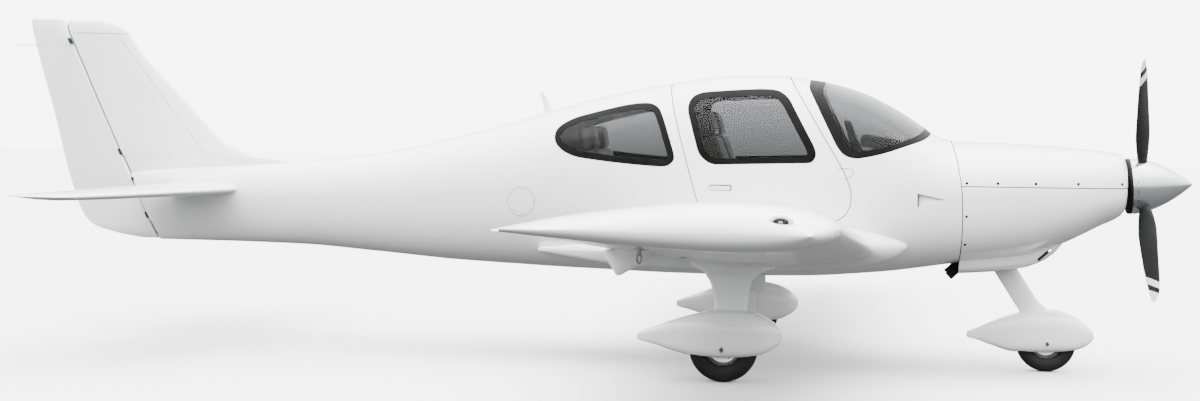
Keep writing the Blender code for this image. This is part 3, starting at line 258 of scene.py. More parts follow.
paint = paint_material()
# Near-black for the walls of cuts, gaps and openings and the ends of shells: painted shade, so the gaps and
# openings read dark.
cut_wall_shade = grained_material("cut_wall_shade", (0.008, 0.008, 0.008), (0.016, 0.016, 0.016), 0.75, 60.0, 0.05,
                              Specular_IOR_Level=0.1)
frit = grained_material("frit", (0.003, 0.003, 0.003), (0.006, 0.006, 0.006), 0.40, 40.0, 0.01,
                        Specular_IOR_Level=0.03)
glass = principled("cabin_glass", (0.46, 0.475, 0.48), 0.02, Transmission_Weight=1.0, IOR=1.16)
add_bump(glass, add_texture(glass, "ShaderNodeTexNoise", Scale=3.0, Detail=2.0), 0.02, 0.002)
lens = principled("lamp_lens", (0.42, 0.43, 0.44), 0.04, Transmission_Weight=0.95, IOR=1.16)
add_bump(lens, add_texture(lens, "ShaderNodeTexWave", Scale=60.0), 0.2, 0.001)
rubber = grained_material("tyre_rubber", (0.006, 0.006, 0.006), (0.013, 0.013, 0.012), 0.66, 420.0, 0.25,
                          Specular_IOR_Level=0.2)
seal = grained_material("seal_rubber", (0.004, 0.004, 0.004), (0.008, 0.008, 0.008), 0.62, 200.0, 0.15,
                        Specular_IOR_Level=0.1)
alloy = metal_material("wheel_alloy", (0.66, 0.66, 0.67), 0.26, 0.42, (1.0, 1.0, 1.0))
polished = metal_material("polished_metal", (0.56, 0.57, 0.58), 0.14, 0.26, (0.4, 6.0, 6.0), 0.012, 0.84)
steel = metal_material("dark_steel", (0.34, 0.34, 0.35), 0.30, 0.50, (1.0, 1.0, 5.0))
cast = grained_material("cast_metal", (0.20, 0.20, 0.21), (0.34, 0.34, 0.35), 0.50, 90.0, 0.35,
                        Metallic=0.8)
# Near-black sooty steel: real soot on the exhaust pipes, and painted shade on the inner faces of the cowling.
soot_and_shade = grained_material("sooty_steel_and_shade", (0.004, 0.004, 0.004), (0.012, 0.011, 0.010), 0.60, 70.0, 0.3,
                        Specular_IOR_Level=0.15)
blade_black = grained_material("blade_paint", (0.009, 0.009, 0.0095), (0.014, 0.014, 0.015), 0.42, 260.0,
                               0.04,
                               Specular_IOR_Level=0.2)
blade_white = grained_material("blade_tip_white", (0.74, 0.74, 0.74), (0.82, 0.82, 0.82), 0.34, 260.0, 0.03)
leather = grained_material("seat_leather", (0.030, 0.029, 0.023), (0.062, 0.060, 0.048), 0.46, 260.0, 0.35,
                           0.0012, cells=True, Sheen_Weight=0.15)
piping = grained_material("seat_piping", (0.010, 0.010, 0.009), (0.022, 0.021, 0.019), 0.42, 300.0, 0.2)
trim = grained_material("cabin_trim", (0.040, 0.040, 0.041), (0.062, 0.062, 0.064), 0.66, 300.0, 0.35)
lining = grained_material("cabin_lining", (0.085, 0.085, 0.083), (0.12, 0.12, 0.117), 0.85, 220.0, 0.35,
                          Sheen_Weight=0.05)
panel_black = grained_material("panel_plastic", (0.016, 0.016, 0.017), (0.030, 0.030, 0.032), 0.60, 500.0,
                               0.3)
shield_cloth = grained_material("shield_cloth", (0.006, 0.006, 0.0063), (0.012, 0.012, 0.0125), 0.90, 420.0,
                                0.4, Specular_IOR_Level=0.04)
screen = grained_material("blank_screen", (0.004, 0.005, 0.007), (0.010, 0.012, 0.016), 0.10, 5.0, 0.0)
carpet = carpet_material()
dark_line = grained_material("seam_shadow", (0.020, 0.020, 0.021), (0.035, 0.035, 0.036), 0.75, 90.0, 0.1,
                             Specular_IOR_Level=0.1)
screw_metal = metal_material("screw_steel", (0.010, 0.010, 0.0105), 0.40, 0.55, (1.0, 1.0, 1.0))
floor_paint = principled("pale_floor", (0.80, 0.80, 0.80), 0.75)
vary_roughness(floor_paint, add_texture(floor_paint, "ShaderNodeTexNoise", Scale=2.0), 0.70, 0.80)


# Shape tools
def smooth_columns(rows, at):
    """Monotone cubic curve through every column of a table whose first column rises."""
    table = np.array(sorted(rows), float)
    xs, ys = table[:, 0], table[:, 1:]
    steps = np.diff(xs)[:, None]
    slopes = np.diff(ys, axis=0) / steps
    tangents = np.zeros_like(ys)
    before, after = slopes[:-1], slopes[1:]
    same = before * after > 0
    weight_a, weight_b = 2 * steps[1:] + steps[:-1], steps[1:] + 2 * steps[:-1]
    with np.errstate(divide="ignore", invalid="ignore"):
        harmonic = (weight_a + weight_b) / (weight_a / before + weight_b / after)
    tangents[1:-1] = np.where(same, harmonic, 0.0)
    tangents[0], tangents[-1] = slopes[0], slopes[-1]
    at = np.clip(np.atleast_1d(np.array(at, float)), xs[0], xs[-1])
    index = np.clip(np.searchsorted(xs, at) - 1, 0, len(xs) - 2)
    h = np.diff(xs)[index][:, None]
    t = ((at - xs[index]) / np.diff(xs)[index])[:, None]
    return (ys[index] * (2 * t ** 3 - 3 * t ** 2 + 1) + tangents[index] * h * (t ** 3 - 2 * t ** 2 + t)
            + ys[index + 1] * (3 * t ** 2 - 2 * t ** 3) + tangents[index + 1] * h * (t ** 3 - t ** 2))


def spread(low, high, step):
    """Even stations between two values."""
    return list(np.linspace(low, high, max(2, int(round(abs(high - low) / step)) + 1)))


def turns(count):
    """Even angles round a full turn."""
    return [2 * math.pi * k / count for k in range(count)]


def swell(value, power):
    """Signed power of a cosine or sine, which squares up a circle."""
    return math.copysign(abs(value) ** power, value)


def hull_ring(x, inset=0.0, count=112):
    """Ring of the body at x: two superellipse halves, shrunk by the inset."""
    top, bottom, half, wide, power_up, power_low, lean = smooth_columns(HULL_ROWS, x)[0]
    angle = 2 * np.pi * np.arange(count) / count
    c, s = np.cos(angle), np.sin(angle)
    power = np.where(s >= 0, power_up, power_low)
    height = np.where(s >= 0, top - wide, wide - bottom) - inset
    y = np.sign(c) * np.abs(c) ** (2 / power) * (half - inset)
    z = wide + np.sign(s) * np.abs(s) ** (2 / power) * height
    return np.stack([x + lean * (z - 0.664), y, z + LIFT], 1)


def hull_y(x, z):
    """Half width of the body at x and a height of the tables."""
    top, bottom, half, wide, power_up, power_low, _ = smooth_columns(HULL_ROWS, x)[0]
    height, power = (top - wide, power_up) if z >= wide else (wide - bottom, power_low)
    share = min(1.0, abs(z - wide) / height)
    return half * (1 - share ** power) ** (1 / power)


def linked(name, data):
    """New object of the scene that shows the data."""
    made = bpy.data.objects.new(name, data)
    bpy.context.scene.collection.objects.link(made)
    return made


def new_piece(name, points, faces, materials, indices=None):
    """Make a smooth-shaded mesh object in the scene."""
    mesh = bpy.data.meshes.new(name)
    mesh.from_pydata([tuple(p) for p in points], [], [tuple(f) for f in faces])
    made = linked(name, mesh)
    for material in materials:
        mesh.materials.append(material)
    if indices is not None:
        mesh.polygons.foreach_set("material_index", indices)
    mesh.shade_smooth()
    return made


def ring_faces(rings, count, start=0, flip=False):
    """Quads between neighbouring rings that sit one after the other."""
    faces = []
    for row in range(rings - 1):
        base = start + row * count
        for i in range(count):
            j = (i + 1) % count
            face = (base + i, base + j, base + count + j, base + count + i)
            faces.append(face[::-1] if flip else face)
    return faces


def ring_solid(rings, index=0):
    """Closed solid through equal rings as points, faces and material indices."""
    count = len(rings[0])
    points = [tuple(p) for ring in rings for p in ring]
    faces = ring_faces(len(rings), count)
    faces += [tuple(range(count))[::-1], tuple(range(len(points) - count, len(points)))]
    return points, faces, [index] * len(faces)


def tidy_normals(made):
    """Turn the faces of a closed mesh outward."""
    bm = bmesh.new()
    bm.from_mesh(made.data)
    bmesh.ops.remove_doubles(bm, verts=bm.verts, dist=0.00002)
    bmesh.ops.recalc_face_normals(bm, faces=bm.faces)
    bm.to_mesh(made.data)
    bm.free()
    made.data.shade_smooth()
    return made


def loft(name, rings, materials, sharp=40.0, ends=True):
    """Skin through equal rings, closed with flat ends unless they are left off."""
    points, faces, _ = ring_solid(rings)
    if not ends:
        faces = faces[:-2]
    made = tidy_normals(new_piece(name, points, faces, materials))
    if sharp:
        made.data.set_sharp_from_angle(angle=math.radians(sharp))
    return made


def hull_shell(name, stations, outer, inner, materials, count=112):
    """Closed shell of the body between two depths; the inner faces take the second material."""
    rings = [hull_ring(x, outer, count) for x in stations]
    rings += [hull_ring(x, inner, count) for x in stations]
    rows = len(stations)
    faces = ring_faces(rows, count)
    inside = ring_faces(rows, count, rows * count, True)
    last = (rows - 1) * count
    ends = []
    for i in range(count):
        j = (i + 1) % count
        ends.append((i, rows * count + i, rows * count + j, j))
        ends.append((last + j, rows * count + last + j, rows * count + last + i, last + i))
    indices = [0] * len(faces) + [1] * len(inside) + [2] * len(ends)
    indices = [min(k, len(materials) - 1) for k in indices]
    return new_piece(name, np.concatenate(rings), faces + inside + ends, materials, indices)


def rounded(outline, reach, steps=6):
    """Round the corners of an outline with parabolas that start at most reach from each corner."""
    count = len(outline)
    result = []
    for i in range(count):
        before, here, after = (Vector(outline[(i + k) % count]) for k in (-1, 0, 1))
        cut = min(reach, 0.5 * (before - here).length, 0.5 * (after - here).length)
        first = here + (before - here).normalized() * cut
        last = here + (after - here).normalized() * cut
        for k in range(steps + 1):
            t = k / steps
            point = first * (1 - t) ** 2 + here * 2 * t * (1 - t) + last * t ** 2
            if not result or (point - Vector(result[-1])).length > 0.0005:
                result.append((point.x, point.y))
    return result


def grown(outline, amount):
    """Push an outline outward along its corner normals."""
    count = len(outline)
    area = sum(outline[i][0] * outline[(i + 1) % count][1] - outline[(i + 1) % count][0] * outline[i][1]
               for i in range(count))
    side = 1.0 if area > 0 else -1.0
    result = []
    for i in range(count):
        before, here, after = (Vector(outline[(i + k) % count]) for k in (-1, 0, 1))
        first, second = (here - before).normalized(), (after - here).normalized()
        normal = Vector((first.y + second.y, -(first.x + second.x))).normalized() * side
        cosine = max(0.5, normal.dot(Vector((first.y, -first.x)) * side))
        moved = here + normal * (amount / cosine)
        result.append((moved.x, moved.y))
    return result


def inset(outline, amount):
    """Draw a smooth outline in by an amount, and drop the points that cross over at tight corners."""
    moved = grown(outline, -amount)
    ends = list(zip(outline, outline[1:] + outline[:1]))
    kept = []
    for point in moved:
        here = Vector(point)
        gaps = []
        for start, end in ends:
            a, b = Vector(start), Vector(end)
            share = max(0.0, min(1.0, (here - a).dot(b - a) / max(1e-9, (b - a).length_squared)))
            gaps.append((here - a - (b - a) * share).length)
        if min(gaps) > amount * 0.985:
            kept.append(point)
    return rounded(kept, 0.01, 2)


def prism(outline, y_low, y_high, index=2):
    """Solid of an x, z outline extruded along y."""
    return ring_solid([[(x, y, z + LIFT) for x, z in outline] for y in (y_low, y_high)], index)


def side_prism(outline, side, near, far=1.0, index=2):
    """Prism of an outline on one side of the body."""
    low, high = sorted((near * side, far * side))
    return prism(outline, low, high, index)


def bar(start, end, radius, index=2, sides=48, end_radius=None):
    """Solid of a round bar between two points."""
    start, end = Vector(start), Vector(end)
    turn = Vector((0, 0, 1)).rotation_difference(end - start).to_matrix()
    rings = []
    for middle, size in ((start, radius), (end, radius if end_radius is None else end_radius)):
        rings.append([middle + turn @ Vector((size * math.cos(t), size * math.sin(t),
                                              0)) for t in turns(sides)])
    return ring_solid(rings, index)


def rod(name, material, start, end, radius, sides, end_radius=None):
    """Round bar as a piece of its own."""
    points, faces, _ = bar(start, end, radius, 0, sides, end_radius)
    return new_piece(name, points, faces, [material])


def marked(made, index):
    """Give all faces of a cutting mesh one of three empty slots."""
    for _ in range(3):
        made.data.materials.append(None)
    made.data.polygons.foreach_set("material_index", [index] * len(made.data.polygons))
    return made


def cutter(solids, slots=3):
    """Join closed solids into one object for a Boolean."""
    points, faces, indices = [], [], []
    for some_points, some_faces, some_indices in solids:
        start = len(points)
        points += some_points
        faces += [tuple(start + k for k in face) for face in some_faces]
        indices += some_indices
    made = new_piece("cutter", points, faces, [None] * slots)
    made.data.polygons.foreach_set("material_index", indices)
    bm = bmesh.new()
    bm.from_mesh(made.data)
    bmesh.ops.recalc_face_normals(bm, faces=bm.faces)
    bm.to_mesh(made.data)
    bm.free()
    return made


def cut(made, tool, operation="DIFFERENCE"):
    """Apply one exact Boolean and drop its tool."""
    step = made.modifiers.new("cut", "BOOLEAN")
    step.operation = operation
    step.solver = "EXACT"
    step.object = tool
    bpy.context.view_layer.update()
    mesh = bpy.data.meshes.new_from_object(made.evaluated_get(bpy.context.evaluated_depsgraph_get()))
    made.modifiers.clear()
    old = made.data
    made.data = mesh
    bpy.data.meshes.remove(old)
    bpy.data.objects.remove(tool, do_unlink=True)


class Skin:
    """Remembers a smooth mesh so that its shading survives the cuts made in it."""

    def __init__(self, made):
        mesh = made.data
        self.points = [v.co.copy() for v in mesh.vertices]
        self.normals = [v.normal.copy() for v in mesh.vertices]
        self.faces = [tuple(f.vertices) for f in mesh.polygons]
        self.tree = BVHTree.FromPolygons(self.points, self.faces)

    def normal_at(self, place):
        """Blended normal of the remembered mesh at its point nearest to a place."""
        spot, _, index, gap = self.tree.find_nearest(place)
        if spot is None or gap > 0.002:
            return None
        corners = self.faces[index]
        weights = poly_3d_calc([self.points[k] for k in corners], spot)
        normal = Vector((0, 0, 0))
        for weight, k in zip(weights, corners):
            normal += self.normals[k] * weight
        return normal.normalized()

    def shade(self, made):
        """Give the faces that still lie on the skin its normals, and leave the cut faces flat."""
        mesh = made.data
        mesh.shade_smooth()
        found = {}
        normals = [None] * len(mesh.loops)
        for face in mesh.polygons:
            flat = face.normal
            for loop in face.loop_indices:
                k = mesh.loops[loop].vertex_index
                if k not in found:
                    found[k] = self.normal_at(mesh.vertices[k].co)
                normal = found[k]
                if normal is not None and normal.dot(flat) < 0.85:
                    normal = None
                normals[loop] = tuple(normal if normal is not None else flat)
        mesh.normals_split_custom_set(normals)


def remembered(made):
    """Skin of a helper mesh that isn't kept."""
    skin = Skin(made)
    bpy.data.objects.remove(made, do_unlink=True)
    return skin


def carve(made, *steps):
    """Cut a smooth mesh and keep its shading; a step is a tool, or a tool and its operation."""
    skin = Skin(made)
    for step in steps:
        cut(made, *(step if isinstance(step, tuple) else (step,)))
    skin.shade(made)


def place(made, body, node, *replaced):
    """Fix a piece to its CAD body and hide the CAD nodes it stands for; node is not used."""
    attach(made, body)
    if replaced:
        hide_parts(*replaced)


def tube(name, points, radius, material, closed=False, resolution=2):
    """Round cord, seam or wire through points."""
    curve = bpy.data.curves.new(name, "CURVE")
    curve.dimensions = "3D"
    line = curve.splines.new("POLY")
    line.points.add(len(points) - 1)
    for spot, point in zip(line.points, points):
        spot.co = (*point, 1.0)
    line.use_cyclic_u = closed
    curve.bevel_depth = radius
    curve.bevel_resolution = resolution
    curve.use_fill_caps = not closed
    temporary = linked(name + "_line", curve)
    bpy.context.view_layer.update()
    mesh = bpy.data.meshes.new_from_object(temporary.evaluated_get(bpy.context.evaluated_depsgraph_get()))
    bpy.data.objects.remove(temporary, do_unlink=True)
    bpy.data.curves.remove(curve)
    mesh.name = name
    made = linked(name, mesh)
    mesh.materials.clear()
    mesh.materials.append(material)
    mesh.shade_smooth()
    return made


def lathe(name, profile, materials, sides=72):
    """Turn a profile of axial distance and radius about +X."""
    rings = [[(along, radius * math.cos(t), radius * math.sin(t)) for t in turns(sides)]
             for along, radius in profile]
    return loft(name, rings, materials, 35, ends=False)


def joined(name, pieces):
    """Join several objects into one piece."""
    with bpy.context.temp_override(active_object=pieces[0], selected_editable_objects=pieces,
                                   selected_objects=pieces, object=pieces[0]):
        bpy.ops.object.join()
    pieces[0].name = name
    return pieces[0]


def from_bmesh(bm, name, material):
    """Smooth-shaded object of the scene from a bmesh, which is freed."""
    mesh = bpy.data.meshes.new(name)
    bm.to_mesh(mesh)
    bm.free()
    mesh.materials.append(material)
    mesh.shade_smooth()
    return linked(name, mesh)


def soft_box(name, low, high, radius, material, segments=4, taper=None):
    """Box with rounded edges; taper(point) may move its points."""
    bm = bmesh.new()
    bmesh.ops.create_cube(bm, size=1.0)
    for vert in bm.verts:
        vert.co = Vector([low[k] if vert.co[k] < 0 else high[k] for k in range(3)])
    bmesh.ops.bevel(bm, geom=bm.edges[:], offset=radius, segments=segments, affect="EDGES", profile=0.5)
    made = from_bmesh(bm, name, material)
    if taper:
        for vert in made.data.vertices:
            vert.co = taper(vert.co)
    made.data.set_sharp_from_angle(angle=math.radians(50))
    return made


# Fuselage skin: cabin and tail in one shell, with the door, window and windshield openings cut through
def window_outline(outline, amount=0.0):
    """Smooth outline of a window, pushed out or in."""
    smooth = rounded(outline, 0.2, 5)
    return grown(smooth, amount) if amount else smooth


DOOR_EDGE = rounded(DOOR_OUTLINE, 0.06, 6)
SEAM_AFT = [(2.9, 0.3), (2.9, 2.2), (FIREWALL_SEAM[0][0], 2.2)] + FIREWALL_SEAM + [(2.508, 0.3)]
stations = spread(-3.005, -0.40, 0.05) + spread(-0.36, 2.36, 0.04) + spread(2.385, 2.56, 0.025)
fuselage = hull_shell("fuselage_skin", stations, 0.0, SKIN_DEPTH, [paint, lining, cut_wall_shade])
fuselage_skin = Skin(fuselage)
openings = [prism(window_outline(WINDSHIELD, 0.0006), -1.0, 1.0), prism(SEAM_AFT, -1.0, 1.0)]
for side, _ in SIDES:
    openings.append(side_prism(window_outline(REAR_WINDOW, 0.0006), side, 0.30))
    openings.append(side_prism(grown(DOOR_EDGE, DOOR_GAP_OUT), side, DOOR_TOP_Y - DOOR_GAP_OUT))
cut(fuselage, cutter(openings))
fuselage_skin.shade(fuselage)
place(fuselage, "airframe", "cabin_shell", "cabin_shell", "tail_cone")

# Doors and glazing: a black border bonded round each clear pane
GLASS_DEPTHS = (0.0012, 0.0068)
BORDER_DEPTHS = (0.0004, 0.0105)


def glazing(label, node, body, outline, border, x_low, x_high, side, near):
    """Black border and clear pane of one window, cut from thin shells of the body."""
    stations = spread(x_low, x_high, 0.03)
    solid = (lambda shape: prism(shape, -1.0, 1.0)) if side == 0 else (lambda shape: side_prism(shape,
                                                                                                side, near))
    ring = hull_shell("glass_border_" + label, stations, *BORDER_DEPTHS, [frit], 128)
    carve(ring, (cutter([solid(window_outline(outline, -0.0008))], 1), "INTERSECT"),
          cutter([solid(border)], 1))
    pane = hull_shell("glass_" + label, stations, *GLASS_DEPTHS, [glass], 128)
    carve(pane, (cutter([solid(grown(border, -0.0006))], 1), "INTERSECT"))
    place(ring, body, node, node)
    place(pane, body, node)


WINDSHIELD_CLEAR = [(1.675, 1.900), (1.642, 1.756), (1.662, 1.702), (1.797, 1.422), (1.830, 1.384),
                    (1.890, 1.368),
                    (2.010, 1.390), (2.150, 1.435), (2.300, 1.500), (2.360, 1.900)]
glazing("front", "windshield", "airframe", WINDSHIELD, rounded(WINDSHIELD_CLEAR, 0.2, 5), 1.50, 2.48, 0,
        0.0)
DOOR_CLEAR = [(0.836, 1.630), (0.856, 1.676), (0.905, 1.694), (1.131, 1.708), (1.270, 1.714),
              (1.345, 1.706),
              (1.392, 1.670), (1.556, 1.375), (1.562, 1.345), (1.540, 1.330), (0.985, 1.312),
              (0.950, 1.330),
              (0.918, 1.365)]
door_clear = rounded(DOOR_CLEAR, 0.2, 5)
rear_clear = inset(window_outline(REAR_WINDOW), 0.042)
DOOR_STATIONS = spread(0.54, 1.92, 0.03)
for side, label in SIDES:
    glazing("rear_" + label, "rear_window_" + label, "airframe", REAR_WINDOW, rear_clear, -0.16, 0.80,
            side, 0.30)
    glazing("door_" + label, "door_window_" + label, "door_" + label, DOOR_WINDOW, door_clear, 0.72, 1.70,
            side, 0.10)
    door = hull_shell("door_skin_" + label, DOOR_STATIONS, 0.0, SKIN_DEPTH, [paint, lining, cut_wall_shade],
                      128)
    edge = side_prism(grown(DOOR_EDGE, -DOOR_GAP_IN), side, DOOR_TOP_Y + DOOR_GAP_IN)
    opening = side_prism(window_outline(DOOR_WINDOW, 0.0006), side, 0.10)
    carve(door, (cutter([edge]), "INTERSECT"), cutter([opening]))
    place(door, "door_" + label, "door_" + label, "door_" + label)


# Cowling: an upper and a lower shell with the chin, the air inlets, the shaft hole and the leg opening
def hull_solid(stations, inset=0.0, count=112, index=0):
    """Closed solid of the body between stations."""
    return ring_solid([hull_ring(x, inset, count) for x in stations], index)


def chin_solid(inset, x_low, x_high, index=0):
    """Closed solid of the chin."""
    rings = []
    for x in spread(x_low, x_high, 0.02):
        top, bottom, half = smooth_columns(CHIN_ROWS, x)[0]
        bottom, half = bottom + inset, half - inset
        ring = []
        for angle in turns(40):
            across, up = swell(math.cos(angle), 2 / 3.6), swell(math.sin(angle), 2 / 3.6)
            ring.append((x, across * half, (top + bottom) / 2 + up * (top - bottom) / 2 + LIFT))
        rings.append(ring)
    return ring_solid(rings, index)


SEAM_FORE = [(x + COWL_GAP_AFT, z) for x, z in FIREWALL_SEAM]
cowl_stations = spread(2.40, 3.36, 0.04) + spread(3.38, 3.50, 0.02) + [3.512, 3.522, 3.531, 3.538, 3.5425,
                                                                       3.545]
leg_up = Vector((-math.sin(NOSE_RAKE), 0.0, math.cos(NOSE_RAKE)))
leg_ahead = Vector((math.cos(NOSE_RAKE), 0.0, math.sin(NOSE_RAKE)))
leg_base = NOSE_AXIS_LOW + Vector((0, 0, LIFT))
for label, low, high in (("upper", COWL_SPLIT_Z + COWL_GAP_SPLIT, 2.2),
                         ("lower", 0.2, COWL_SPLIT_Z - COWL_GAP_SPLIT)):
    cowl = cutter([hull_solid(cowl_stations)], 0)
    cowl.name = "cowl_" + label
    # The inner faces of the cowling take the near-black sooty material as painted shade, and its cut walls
    # take the painted shade of cut walls.
    for material in (paint, soot_and_shade, cut_wall_shade):
        cowl.data.materials.append(material)
    if label == "lower":
        cut(cowl, cutter([chin_solid(0.0, 2.515, 3.175)]), "UNION")
    skin = Skin(cowl)
    inner = spread(2.36, 3.36, 0.04) + [3.42, 3.48, 3.52]
    cut(cowl, cutter([hull_solid(inner, 0.010, 112, 1)]))
    holes = [bar((3.42, side * 0.185, 1.205), (3.70, side * 0.185, 1.205), 0.060) for side in (-1, 1)]
    holes.append(bar(HUB - Vector((0.30, 0, 0)), HUB + Vector((0.10, 0, 0.005)), 0.078))
    cut(cowl, cutter(holes))
    if label == "lower":
        cut(cowl, cutter([chin_solid(0.010, 2.40, 3.10, 1)]))
        cut(cowl, cutter([bar(leg_base + leg_up * 0.20, leg_base + leg_up * 0.42, 0.074)]))
        scoop = [(3.085, 0.735), (3.30, 0.700), (3.30, 0.860), (3.115, 0.846)]
        cut(cowl, cutter([prism(rounded(scoop, 0.02), -0.150, 0.150, 1)]))
        gap = [(3.084, 0.776), (3.006, 0.704), (3.016, 0.688), (3.098, 0.762)]
        cut(cowl, cutter([side_prism(rounded(gap, 0.004), side, 0.110, 0.300) for side in (-1, 1)]))
        cut(cowl, cutter([bar((2.700, side * 0.130, 0.840), (2.440, side * 0.130, 0.589), 0.036)
                          for side in (-1, 1)]))
    split_x = float(np.interp(COWL_SPLIT_Z, [z for _, z in SEAM_FORE[::-1]],
                              [x for x, _ in SEAM_FORE[::-1]]))
    seam = [(x, z) for x, z in SEAM_FORE if low + 0.004 < z < high - 0.004]
    if label == "upper":
        outline = [(SEAM_FORE[0][0], high)] + seam + [(split_x, low), (3.70, low), (3.70, high)]
    else:
        outline = [(split_x, high)] + seam + [(SEAM_FORE[-1][0], low), (3.70, low), (3.70, high)]
    cut(cowl, cutter([prism(outline, -1.0, 1.0)]), "INTERSECT")
    skin.shade(cowl)
    place(cowl, "airframe", "cowling_" + label, "cowling_" + label)


# Wings, flaps and ailerons
WING_THICKNESS = 0.145
TAIL_THICKNESS = 0.11


def wing_edge(y):
    """Leading edge x, its height and the chord at a distance from the middle."""
    share = (y - 0.68) / (5.60 - 0.68)
    return 1.985 - 0.096 * share, 0.762 + 0.0800 * (y - 0.68), 1.560 - 0.400 * share


def half_thick(s, thickness):
    """Half thickness of the aerofoil at a fraction of the chord."""
    return 5 * thickness * (0.2969 * math.sqrt(s) - 0.1260 * s - 0.3516 * s ** 2 + 0.2843 * s ** 3
                            - 0.1036 * s ** 4) + 0.0008


def wing_point(y, s, level):
    """Point of the wing: level is +1 on the top skin, -1 on the lower and 0 between."""
    edge_x, edge_z, chord = wing_edge(y)
    camber = 0.016 * (1 - (2 * s - 0.8) ** 2 / 1.44) * chord
    up = camber + level * half_thick(s, WING_THICKNESS) * chord
    back = s * chord
    incidence = math.radians(1.9) - math.radians(1.4) * (y - WING_ROOT_Y) / (WING_TIP_Y - WING_ROOT_Y)
    return Vector((edge_x - back * math.cos(incidence) + up * math.sin(incidence), y,
                   edge_z - back * math.sin(incidence) + up * math.cos(incidence) + LIFT))


def fore_and_aft(count):
    """Chord fractions and levels round an aerofoil, closer together at its nose."""
    shares = [(1 - math.cos(math.pi * k / (2 * count))) ** 1.15 for k in range(count + 1)]
    return [(s, 1) for s in reversed(shares[1:])] + [(0.0, 0)] + [(s, -1) for s in shares[1:]]


def sided(rings, side):
    """Rings for the left side, or mirrored for the right one."""
    return [[(x, y * side, z) for x, y, z in ring] for ring in rings]


def square_to(points, origin, axis):
    """Slide points along an axis into the plane that is square to it."""
    return [point - axis * (point - origin).dot(axis) for point in points]


AEROFOIL = fore_and_aft(30)
wing_rings = [[wing_point(y, s, level) for s, level in AEROFOIL]
              for y in (0.40, 0.70, 1.2, 2.0, 3.0, 4.0, 4.8, 5.36, 5.44)]
for k in range(1, 13):
    u = math.sin(math.pi / 2 * k / 12)
    y = 5.44 + 0.28 * u
    shrink = max(0.03, (1 - u ** 3) ** 0.45)
    narrow = 1 - (1 - max(0.5, (1 - u ** 4) ** 0.5)) * 0.22
    drop = 0.030 * u ** 2
    middle = wing_point(y, 0.42, 0.0)
    ring = []
    for s, level in AEROFOIL:
        away = wing_point(y, s, level) - middle
        ring.append(Vector((middle.x + away.x * narrow - drop, y, middle.z + away.z * shrink - drop)))
    wing_rings.append(ring)


def trailing_solid(y_low, y_high, side):
    """Cutter for the room of a flap or aileron behind the rear spar."""
    start, end = wing_point(y_low, HINGE_FRACTION, 0), wing_point(y_high, HINGE_FRACTION, 0)
    axis = (end - start).normalized()
    rings = []
    for y, origin in ((y_low, start), (y_high, end)):
        edge_x, edge_z, chord = wing_edge(y)
        fore = edge_x - REAR_SPAR_FRACTION * chord
        corners = [Vector((fore + dx, y, edge_z + dz))
                   for dx, dz in ((0, 0.34), (0, -0.36), (-0.8, -0.36), (-0.8, 0.34))]
        rings.append(square_to(corners, origin, axis))
    return ring_solid(sided(rings, side), 1)


def surface_ring(y, nose, origin, axis):
    """Ring of a flap or aileron with a rounded nose at its hinge."""
    shares = [1.0, 0.95, 0.90, 0.86, 0.82, 0.785, 0.765]
    ring = [wing_point(y, s, 1) for s in shares]
    for k in range(1, 8):
        angle = math.pi * k / 8
        ring.append(wing_point(y, 0.765 - (0.765 - nose) * math.sin(angle), math.cos(angle)))
    ring += [wing_point(y, s, -1) for s in reversed(shares)]
    return square_to(ring, origin, axis)


hull_block = hull_solid(spread(-1.0, 2.6, 0.05), 0.012, 96, 1)
for side, label in SIDES:
    wing = loft("wing_skin_" + label, sided(wing_rings, side), [paint, cut_wall_shade], None)
    rooms = [trailing_solid(*span, side) for span in (FLAP_SPAN, AILERON_SPAN)]
    carve(wing, cutter(rooms, 2), cutter([hull_block], 2))
    place(wing, "airframe", "wing_" + label, "wing_" + label)
    for kind, (y_low, y_high), end_gap in (("flap", FLAP_SPAN, 0.018), ("aileron", AILERON_SPAN, 0.006)):
        inner_y, outer_y = y_low + 0.006, y_high - end_gap
        start, end = wing_point(inner_y, HINGE_FRACTION, 0), wing_point(outer_y, HINGE_FRACTION, 0)
        axis = (end - start).normalized()
        rings = []
        for t in np.linspace(0.0, 1.0, 9):
            rings.append(surface_ring(inner_y + (outer_y - inner_y) * t, 0.735, start.lerp(end, t), axis))
        surface = loft(kind + "_skin_" + label, sided(rings, side), [paint], 45)
        node = kind + "_" + label
        place(surface, node, node, node)

# Tailplane, elevators, fin and rudder
TAILPLANE_ROWS = [(0.030, -2.360, -3.170), (1.880, -2.700, -3.115), (1.960, -2.770, -3.090)]


def tail_ring(y, shapes):
    """Ring of the tailplane at a distance from the middle, drawn in towards its rounded tip."""
    fore, aft = smooth_columns(TAILPLANE_ROWS, min(y, 1.88))[0]
    shrink = 1.0
    if y > 1.86:
        u = min(1.0, (y - 1.86) / 0.10)
        fore, aft = fore - 0.075 * (1 - math.sqrt(1 - u * u * 0.98)), aft + 0.028 * u * u
        shrink = max(0.04, math.sqrt(1 - u * u * 0.99))
    chord = fore - aft
    return [Vector((fore - s * chord, y, TAIL_Z + LIFT + level * half_thick(s,
                                                                            TAIL_THICKNESS) * chord * shrink))
            for s, level in shapes]


